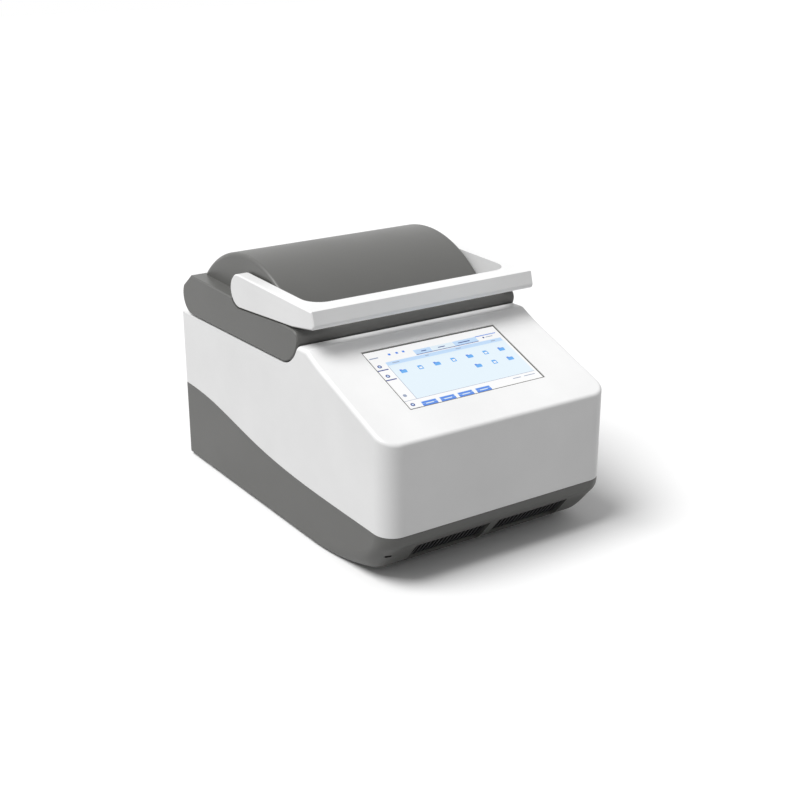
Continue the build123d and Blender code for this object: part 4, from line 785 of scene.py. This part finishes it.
class ScreenSketch:
    """Flat patches on the screen window, in millimetres, each some levels above it."""

    def __init__(self, finishes):
        self.shape = bmesh.new()
        self.finishes = list(finishes.values())
        self.named = finishes
        self.origin, self.across, self.upward, self.outward = glass_plane()

    def place(self, x, y, height):
        """Point over the glass, kept clear of the rim that the opening covers."""
        inside_x = min(max(x, covered_rim), screen_width - covered_rim)
        inside_y = min(max(y, covered_rim), screen_height - covered_rim)
        return (
            self.origin
            + self.across * (inside_x - screen_width / 2) * 0.001
            + self.upward * (inside_y - screen_height / 2) * 0.001
            + self.outward * height * 0.001
        )

    def patch(self, outline, level, finish):
        height = window_rise + level_step * (level + 1)
        corners = [self.shape.verts.new(self.place(x, y, height)) for x, y in outline]
        face = self.shape.faces.new(corners)
        face.material_index = self.finishes.index(self.named[finish])

    def block(self, left, low, right, high, level, finish):
        self.patch([(left, low), (right, low), (right, high), (left, high)], level, finish)

    def disc(self, x, y, radius, level, finish, sides=16):
        angles = [2 * math.pi * index / sides for index in range(sides)]
        outline = [(x + radius * math.cos(angle), y + radius * math.sin(angle)) for angle in angles]
        self.patch(outline, level, finish)

    def drawn_at(self, x, y, outline, level, finish):
        """Patch whose outline is given from a middle."""
        self.patch([(x + right, y + up) for right, up in outline], level, finish)

    def page(self, x, y):
        """Page mark with a folded corner."""
        sheet = [(-2.6, -2.8), (2.6, -2.8), (2.6, 1.6), (1.2, 3), (-2.6, 3)]
        self.drawn_at(x, y, sheet, 3, "page")
        self.block(x - 1.4, y - 1.6, x + 1.5, y + 0.8, 4, "white")
        self.drawn_at(x, y, [(1.2, 3), (1.2, 1.6), (2.6, 1.6)], 5, "accent")

    def folder(self, x, y):
        """Folder mark with its front flap."""
        back = [(-3.4, -2.6), (3.2, -2.6), (3.2, 2), (-0.4, 2), (-1, 3), (-3.4, 3)]
        self.drawn_at(x, y, back, 3, "accent")
        self.drawn_at(x, y, [(-3.4, -2.6), (3.2, -2.6), (3.8, 1.2), (-2.6, 1.2)], 4, "page")

    def mesh(self, name):
        mesh = bpy.data.meshes.new(name)
        self.shape.to_mesh(mesh)
        self.shape.free()
        for finish in self.finishes:
            mesh.materials.append(finish)
        return mesh


class PCR_OT_screen(PieceOperator, bpy.types.Operator):
    """Picture on the lit touch screen, drawn with plain shapes and no lettering"""

    bl_idname = "pcr.screen"
    bl_label = "Screen picture"

    def execute(self, context):
        picture = context.scene.pcr_screen
        colours = {
            "white": (1, 1, 1),
            "field": tuple(picture.field),
            "band": tuple(picture.band),
            "accent": tuple(picture.accent),
            "deep accent": tuple(picture.deep),
            "page": (0.08, 0.4, 0.9),
            "line": (0.3, 0.36, 0.5),
        }
        finishes = {
            name: lit_material("screen " + name, colour, picture.brightness)
            for name, colour in colours.items()
        }
        window = screen_window()
        sketch = ScreenSketch(finishes)
        sketch.block(0, 0, screen_width, screen_height, 0, "white")
        draw_bands(sketch)
        draw_sidebar(sketch)
        draw_buttons(sketch)
        draw_files(sketch)
        draw_labels(sketch)
        piece = new_piece("screen_picture", sketch.mesh("screen_picture"), "base")
        return {"FINISHED"}


def screen_window():
    """Thin slab on the glass that carries the picture."""
    origin, across, upward, outward = glass_plane()
    stand = Matrix.Translation(origin) @ Matrix((across, upward, outward)).transposed().to_4x4()
    half_x = (screen_width / 2 - covered_rim) * 0.001
    half_y = (screen_height / 2 - covered_rim) * 0.001
    shape = bmesh.new()
    low = (-half_x, -half_y, window_gap * 0.001)
    bar(shape, low, (half_x, half_y, window_rise * 0.001), window_bevel * 0.001)
    bmesh.ops.transform(shape, matrix=stand, verts=shape.verts)
    gasket = bpy.data.materials["screen gasket"]
    return new_piece("screen_window", finished_mesh("screen_window", shape, [gasket]), "base")


def draw_bands(sketch):
    """File list, its head band and rules, and the tabs over it."""
    sketch.block(list_left, list_low, list_right, list_high, 1, "field")
    sketch.block(list_left, list_high, head_band_right, head_band_high, 1, "band")
    sketch.block(0, list_low - 0.6, list_right, list_low - 0.1, 2, "line")
    sketch.block(list_left - 0.4, list_low, list_left - 0.4 + rule_width, list_high, 2, "line")
    for (left, right), finish in zip(tab_spans, ("band", "field", "band")):
        sketch.block(left, tab_low, right, tab_high, 2, finish)
    first, last = tab_spans[0], tab_spans[-1]
    sketch.block(first[0], tab_low - tab_underline, last[1], tab_low, 2, "deep accent")
    sketch.block(*account_line, 2, "accent")


def draw_sidebar(sketch):
    """Tabs of the left edge, each with a ring and a bar under it."""
    for low in sidebar_tabs:
        bar_high = low + sidebar_bar
        middle = low + 6.4
        sketch.block(sidebar_left, low, sidebar_right, bar_high, 2, "deep accent")
        sketch.block(sidebar_left, bar_high, sidebar_right, low + sidebar_tab_height, 1, "white")
        sketch.disc(sidebar_middle, middle, 2.3, 2, "deep accent")
        sketch.disc(sidebar_middle, middle, 1.1, 3, "band")


def draw_buttons(sketch):
    """Row of buttons along the lower edge, lighter at the top."""
    for index in range(4):
        left = button_left + index * button_pitch
        right = left + button_width
        sketch.block(left, button_low, right, button_high, 2, "accent")
        sketch.block(left, 4.6, right, button_high, 3, "band")
        sketch.block(left + 0.5, 4.9, right - 0.5, 7.4, 4, "accent")
        sketch.block(left + 4, 3.6, right - 4, 4.6, 5, "field")


def draw_files(sketch):
    """Rows of folders and pages in turn."""
    for left, height, count in file_rows:
        for index in range(count):
            mark = sketch.page if index % 2 else sketch.folder
            mark(left + index * file_pitch, height)


def draw_labels(sketch):
    """Small marks and plain bars in place of words."""
    for left in head_marks:
        sketch.block(left, 77.6, left + head_mark_size, 80.2, 2, "accent")
    for left, right in tab_labels:
        sketch.block(left, 73.4, right, 74.6, 3, "deep accent")
    for left, right in column_labels:
        sketch.block(left, 66, right, 67, 3, "line")
    for left, right in status_labels:
        sketch.block(left, 8.2, right, 9.2, 2, "line")
    sketch.block(3, 77, 13, 78.4, 2, "line")
    sketch.block(134, 73, 136, 75, 2, "deep accent")
    sketch.block(137.6, 73.4, 146, 74.4, 2, "line")
    sketch.disc(sidebar_middle, sidebar_page, 2.0, 2, "line")


def glass_plane():
    """Middle of the touch glass's upper face, and its directions across, up the slope and outwards."""
    mesh = nodes["touch_glass"].data
    faces = [face for face in mesh.polygons if face.normal.z > 0.5]
    outward = sum((face.normal * face.area for face in faces), Vector()).normalized()
    across = Vector((1, 0, 0))
    upward = outward.cross(across).normalized()
    low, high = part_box("touch_glass")
    middle = (low + high) / 2
    top = max(face.center.dot(outward) for face in faces)
    return middle + outward * (top - middle.dot(outward)), across, upward, outward


# Edges of the block, the plate and their holes

mouth_land = 0.0004
mouth_chamfer = 0.0003
plate_edge = 0.0006


class PCR_OT_wells(PieceOperator, bpy.types.Operator):
    """Sample block with round wells and heated plate with round windows"""

    bl_idname = "pcr.wells"
    bl_label = "Wells and windows"

    def execute(self, context):
        grid = context.scene.pcr_wells
        radii = (grid.mouth, grid.tip)
        block = well_plate("sample_block_wells", "sample_block", grid, radii, grid.depth, "base")
        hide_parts("sample_block")
        low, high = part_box("heated_plate")
        radii = (grid.window, grid.window)
        depth = high.z - low.z
        plate = well_plate("heated_plate_windows", "heated_plate", grid, radii, depth, "pressure_plate")
        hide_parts("heated_plate")
        return {"FINISHED"}


def well_plate(name, cad_node, grid, radii, depth, body):
    """Plate in a CAD node's box with a grid of round tapered holes from its upper face down."""
    finish = bpy.data.materials["blasted aluminium"]
    low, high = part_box(cad_node)
    middle = (low + high) / 2
    through = depth >= high.z - low.z - same_place
    places = [
        (
            middle.x + (column - (grid.columns - 1) / 2) * grid.pitch,
            middle.y + (row - (grid.rows - 1) / 2) * grid.pitch,
            high.z,
        )
        for column in range(grid.columns)
        for row in range(grid.rows)
    ]
    cell = well_cell(name + "_cell", grid, radii, depth, through)
    piece = copies(name, places, cell, finish, body)
    shape = bmesh.new()
    shape.from_mesh(piece.data)
    bmesh.ops.remove_doubles(shape, verts=shape.verts, dist=2 * same_place)
    skirt(shape, low, high, through)
    piece.data = finished_mesh(name, shape, [finish], math.radians(30))
    return piece


def well_cell(name, grid, radii, depth, through):
    """Square of the upper face with one hole, open round its border."""
    mouth, tip = radii
    half = grid.pitch / 2
    rim = mouth + mouth_land
    per_side = grid.sides // 4
    square = []
    for turn in range(4):
        for step in range(per_side):
            share = -1 + 2 * step / per_side
            square.append(Matrix.Rotation(turn * math.pi / 2, 2) @ Vector((half, share * half)))
    count = len(square)
    start = -math.pi / 4
    shape = bmesh.new()
    rings = [
        [shape.verts.new((corner.x, corner.y, 0)) for corner in square],
        ring(shape, rim, 0, count, start),
        ring(shape, mouth, -mouth_chamfer, count, start),
    ]
    if through:
        rings.append(ring(shape, tip, mouth_chamfer - depth, count, start))
        rings.append(ring(shape, rim, -depth, count, start))
        rings.append([shape.verts.new((corner.x, corner.y, -depth)) for corner in square])
    else:
        rings.append(ring(shape, tip, -depth, count, start))
    for first, second in zip(rings, rings[1:]):
        bridge(shape, first, second)
    if not through:
        shape.faces.new(rings[-1])
    return finished_mesh(name, shape)


def skirt(shape, low, high, through):
    """Margin, sides and underside that close a grid of cells to a plate."""
    loops = []
    for height, inset in (
        (high.z, plate_edge),
        (high.z - plate_edge, 0),
        (low.z + plate_edge, 0),
        (low.z, plate_edge),
    ):
        corners = (
            (low.x + inset, low.y + inset, height),
            (high.x - inset, low.y + inset, height),
            (high.x - inset, high.y - inset, height),
            (low.x + inset, high.y - inset, height),
        )
        loops.append([shape.verts.new(corner) for corner in corners])
    for first, second in zip(loops, loops[1:]):
        bridge(shape, first, second)
    fill_level(shape, high.z)
    if through:
        fill_level(shape, low.z)
    else:
        shape.faces.new(loops[-1])


def fill_level(shape, height):
    """Flat margin between the open edges at a height."""
    edges = [
        edge
        for edge in shape.edges
        if edge.is_boundary and all(abs(corner.co.z - height) < same_place for corner in edge.verts)
    ]
    bmesh.ops.triangle_fill(shape, use_beauty=True, edges=edges)


def islands(name):
    """Lowest and highest corner of each separate solid of a CAD node."""
    shape = bmesh.new()
    shape.from_mesh(nodes[name].data)
    bmesh.ops.remove_doubles(shape, verts=shape.verts, dist=same_place)
    left = set(shape.verts)
    boxes = []
    while left:
        reached = [left.pop()]
        for corner in reached:
            for edge in corner.link_edges:
                other = edge.other_vert(corner)
                if other in left:
                    left.remove(other)
                    reached.append(other)
        low = Vector(map(min, zip(*(corner.co for corner in reached))))
        high = Vector(map(max, zip(*(corner.co for corner in reached))))
        boxes.append((low, high))
    shape.free()
    return sorted(boxes, key=lambda box: (round(box[0].x, 4), round(box[0].y, 4)))


def footings(boxes):
    """Middle of the underside of each box."""
    return [((low.x + high.x) / 2, (low.y + high.y) / 2, low.z) for low, high in boxes]


# Round fittings, in metres

screw_sides = 18
screw_shank = 0.0013
case_screw_socket = 0.0012
case_screw_head = 0.0029
case_screw_head_height = 0.002
case_screw_round = 0.0004
lid_screw_socket = 0.0007
lens_sides = 24
barrel_radius = 0.0033
glass_radius = 0.0022
glass_depth = 0.0012
groove_low = 0.0022
groove_high = 0.0032
groove_depth = 0.0003
blade_spread = 0.007
blade_offset = 0.002
blade_half_width = 0.00105
blade_half_height = 0.00205
blade_length = 0.0085
blade_setback = 0.00445
blade_round = 0.0004


class PCR_OT_screws(PieceOperator, bpy.types.Operator):
    """Round screws with sockets in their heads, in place of the plain ones"""

    bl_idname = "pcr.screws"
    bl_label = "Screws"

    def execute(self, context):
        head = [
            (0, case_screw_socket),
            (case_screw_socket, case_screw_socket),
            (case_screw_socket + 0.0002, 0),
            (case_screw_head - case_screw_round, 0),
            (case_screw_head, case_screw_round),
            (case_screw_head, case_screw_head_height),
            (screw_shank, case_screw_head_height),
        ]
        screws = round_screws("case_screws_round", "case_screws", head, "base")
        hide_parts("case_screws")
        end = [
            (0, lid_screw_socket + 0.0001),
            (lid_screw_socket, lid_screw_socket + 0.0001),
            (lid_screw_socket + 0.0001, 0),
            (screw_shank, 0.0001),
        ]
        screws = round_screws("lid_screws_round", "lid_screws", end, "lid")
        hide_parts("lid_screws")
        return {"FINISHED"}


def round_screws(name, cad_node, head, body):
    """Screws turned from a head's profile, as long as a CAD node's and where they stand."""
    steel = bpy.data.materials["zinc plated steel"]
    boxes = islands(cad_node)
    length = boxes[0][1].z - boxes[0][0].z
    tip = [(screw_shank, length - screw_shank), (0, length)]
    master = lathe(name, head + tip, screw_sides, [steel])
    return copies(name, footings(boxes), master, steel, body)


class PCR_OT_lenses(PieceOperator, bpy.types.Operator):
    """Lens barrels of the scanning carriage with their coated glass"""

    bl_idname = "pcr.lenses"
    bl_label = "Lenses"

    def execute(self, context):
        black = bpy.data.materials["optics black"]
        coated = coated_glass()
        boxes = islands("scan_lenses")
        length = boxes[0][1].z - boxes[0][0].z
        master = lathe("lens_barrel", barrel_profile(length), lens_sides, [black])
        barrels = copies("lens_barrels", footings(boxes), master, black, "carriage")
        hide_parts("scan_lenses")
        dome = [
            (0, glass_depth / 2),
            (0.0009, 0.0007),
            (0.0017, 0.0010),
            (glass_radius, glass_depth - 0.00002),
            (0, glass_depth - 0.00001),
        ]
        master = lathe("lens_glass", dome, lens_sides, [coated])
        glasses = copies("lens_glasses", footings(boxes), master, coated, "carriage")
        return {"FINISHED"}


def barrel_profile(length):
    """Half outline of a lens barrel with its seat for the glass and a grip groove."""
    seat = barrel_radius - 0.0010
    grooved = barrel_radius - groove_depth
    return [
        (seat, glass_depth),
        (barrel_radius - 0.0007, 0.0002),
        (barrel_radius - 0.0004, 0),
        (barrel_radius, 0.0003),
        (barrel_radius, groove_low),
        (grooved, groove_low + 0.0002),
        (grooved, groove_high - 0.0002),
        (barrel_radius, groove_high),
        (barrel_radius, length),
        (0, length),
        (0, glass_depth),
        (seat, glass_depth),
    ]


class PCR_OT_contacts(PieceOperator, bpy.types.Operator):
    """Metal blades of the power inlet"""

    bl_idname = "pcr.contacts"
    bl_label = "Inlet contacts"

    def execute(self, context):
        low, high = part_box("power_inlet")
        middle = (low + high) / 2
        front = high.y - blade_setback
        shape = bmesh.new()
        for way in (-1, 0, 1):
            x = middle.x + way * blade_spread
            z = middle.z + blade_offset * (1 - 2 * abs(way))
            near = (x - blade_half_width, front - blade_length, z - blade_half_height)
            far = (x + blade_half_width, front, z + blade_half_height)
            bar(shape, near, far, blade_round)
        plated = metal("plated contact", (0.75, 0.74, 0.7), 0.22, (1.0, 0.1, 1.0))
        mesh = finished_mesh("inlet_blades", shape, [plated], math.radians(40))
        blades = new_piece("inlet_blades", mesh, "base")
        return {"FINISHED"}


# Stage

floor_half_width = 6
sensor_width = 36


class PCR_OT_stage(PieceOperator, bpy.types.Operator):
    """Pale floor, soft light and the camera"""

    bl_idname = "pcr.stage"
    bl_label = "Stage"

    def execute(self, context):
        setting = context.scene.pcr_stage
        scene = context.scene
        shape = bmesh.new()
        bmesh.ops.create_grid(shape, x_segments=1, y_segments=1, size=floor_half_width)
        floor = new_piece("floor", finished_mesh("floor", shape, [floor_material()]))
        lamp("main_lamp", setting.key, setting.key_from, setting.softness)
        world = bpy.data.worlds.new("room")
        world.use_nodes = True
        paint_world(world.node_tree, setting.ambient)
        scene.world = world
        data = bpy.data.cameras.new("camera")
        data.lens = setting.lens
        data.sensor_width = sensor_width
        data.sensor_fit = "HORIZONTAL"
        data.clip_start = 0.01
        camera = bpy.data.objects.new("camera", data)
        scene.collection.objects.link(camera)
        look = Vector(
            (
                -math.sin(setting.azimuth) * math.cos(setting.elevation),
                math.cos(setting.azimuth) * math.cos(setting.elevation),
                -math.sin(setting.elevation),
            )
        )
        camera.location = setting.camera_place
        camera.rotation_euler = look.to_track_quat("-Z", "Y").to_euler()
        scene.camera = camera
        scene.view_settings.view_transform = "Standard"
        return {"FINISHED"}


def lamp(name, strength, direction, softness):
    """Sun lamp that shines from a direction, as wide as its softness."""
    data = bpy.data.lights.new(name, "SUN")
    data.energy = strength
    data.angle = softness
    item = bpy.data.objects.new(name, data)
    bpy.context.scene.collection.objects.link(item)
    item.rotation_euler = (-Vector(direction)).to_track_quat("-Z", "Y").to_euler()


def seen_directly(tree):
    """Mask of what the camera, mirrors and glass see."""
    path = node(tree, "ShaderNodeLightPath")
    first = node(tree, "ShaderNodeMath", operation="ADD", use_clamp=True)
    both = node(tree, "ShaderNodeMath", operation="ADD", use_clamp=True)
    tree.links.new(path.outputs["Is Camera Ray"], first.inputs[0])
    tree.links.new(path.outputs["Is Glossy Ray"], first.inputs[1])
    tree.links.new(first.outputs[0], both.inputs[0])
    tree.links.new(path.outputs["Is Transmission Ray"], both.inputs[1])
    return both.outputs[0]


def paint_world(tree, ambient):
    """World that is white where it is seen and an even light elsewhere."""
    background = tree.nodes["Background"]
    level = node(tree, "ShaderNodeMapRange", {"To Min": ambient, "To Max": 1.0})
    tree.links.new(seen_directly(tree), level.inputs["Value"])
    tree.links.new(level.outputs["Result"], background.inputs["Strength"])
    background.inputs["Color"].default_value = (1, 1, 1, 1)


def floor_material():
    """White floor that keeps the object's shadow."""
    material, tree, surface = new_material("floor", Roughness=0.9)
    place = node(tree, "ShaderNodeTexCoord")
    mottle = node(tree, "ShaderNodeTexNoise", {"Scale": 3.0, "Detail": 2.0})
    tree.links.new(place.outputs["Object"], mottle.inputs["Vector"])
    seen = mixed(tree, mottle.outputs["Fac"], (0.86, 0.86, 0.86), (0.88, 0.88, 0.88))
    colour = mixed(tree, seen_directly(tree), (0.3, 0.3, 0.3), seen)
    tree.links.new(colour, surface.inputs["Base Color"])
    return material


class PCR_PT_panel(bpy.types.Panel):
    """Lists the steps and the sizes in the 3D view's sidebar"""

    bl_idname = "PCR_PT_panel"
    bl_label = "PCR system"
    bl_space_type = "VIEW_3D"
    bl_region_type = "UI"
    bl_category = "PCR system"

    def draw(self, context):
        for step in steps:
            self.layout.operator(step.bl_idname)
        for group in (
            context.scene.pcr_finish,
            context.scene.pcr_screen,
            context.scene.pcr_wells,
            context.scene.pcr_stage,
        ):
            column = self.layout.column(align=True)
            for key in group.__annotations__:
                column.prop(group, key)


groups = (CaseFinish, ScreenPicture, WellGrid, StageSetting)
steps = (
    PCR_OT_case,
    PCR_OT_inner,
    PCR_OT_screen,
    PCR_OT_wells,
    PCR_OT_screws,
    PCR_OT_lenses,
    PCR_OT_contacts,
    PCR_OT_stage,
)


def register():
    for item in groups + steps + (PCR_PT_panel,):
        bpy.utils.register_class(item)
    bpy.types.Scene.pcr_finish = PointerProperty(type=CaseFinish)
    bpy.types.Scene.pcr_screen = PointerProperty(type=ScreenPicture)
    bpy.types.Scene.pcr_wells = PointerProperty(type=WellGrid)
    bpy.types.Scene.pcr_stage = PointerProperty(type=StageSetting)


def unregister():
    for name in ("pcr_finish", "pcr_screen", "pcr_wells", "pcr_stage"):
        delattr(bpy.types.Scene, name)
    for item in reversed(groups + steps + (PCR_PT_panel,)):
        bpy.utils.unregister_class(item)


def main():
    """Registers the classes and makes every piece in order."""
    register()
    bpy.ops.pcr.case()
    bpy.ops.pcr.inner()
    bpy.ops.pcr.screen()
    bpy.ops.pcr.wells()
    bpy.ops.pcr.screws()
    bpy.ops.pcr.lenses()
    bpy.ops.pcr.contacts()
    bpy.ops.pcr.stage()


if __name__ == "__main__":
    main()
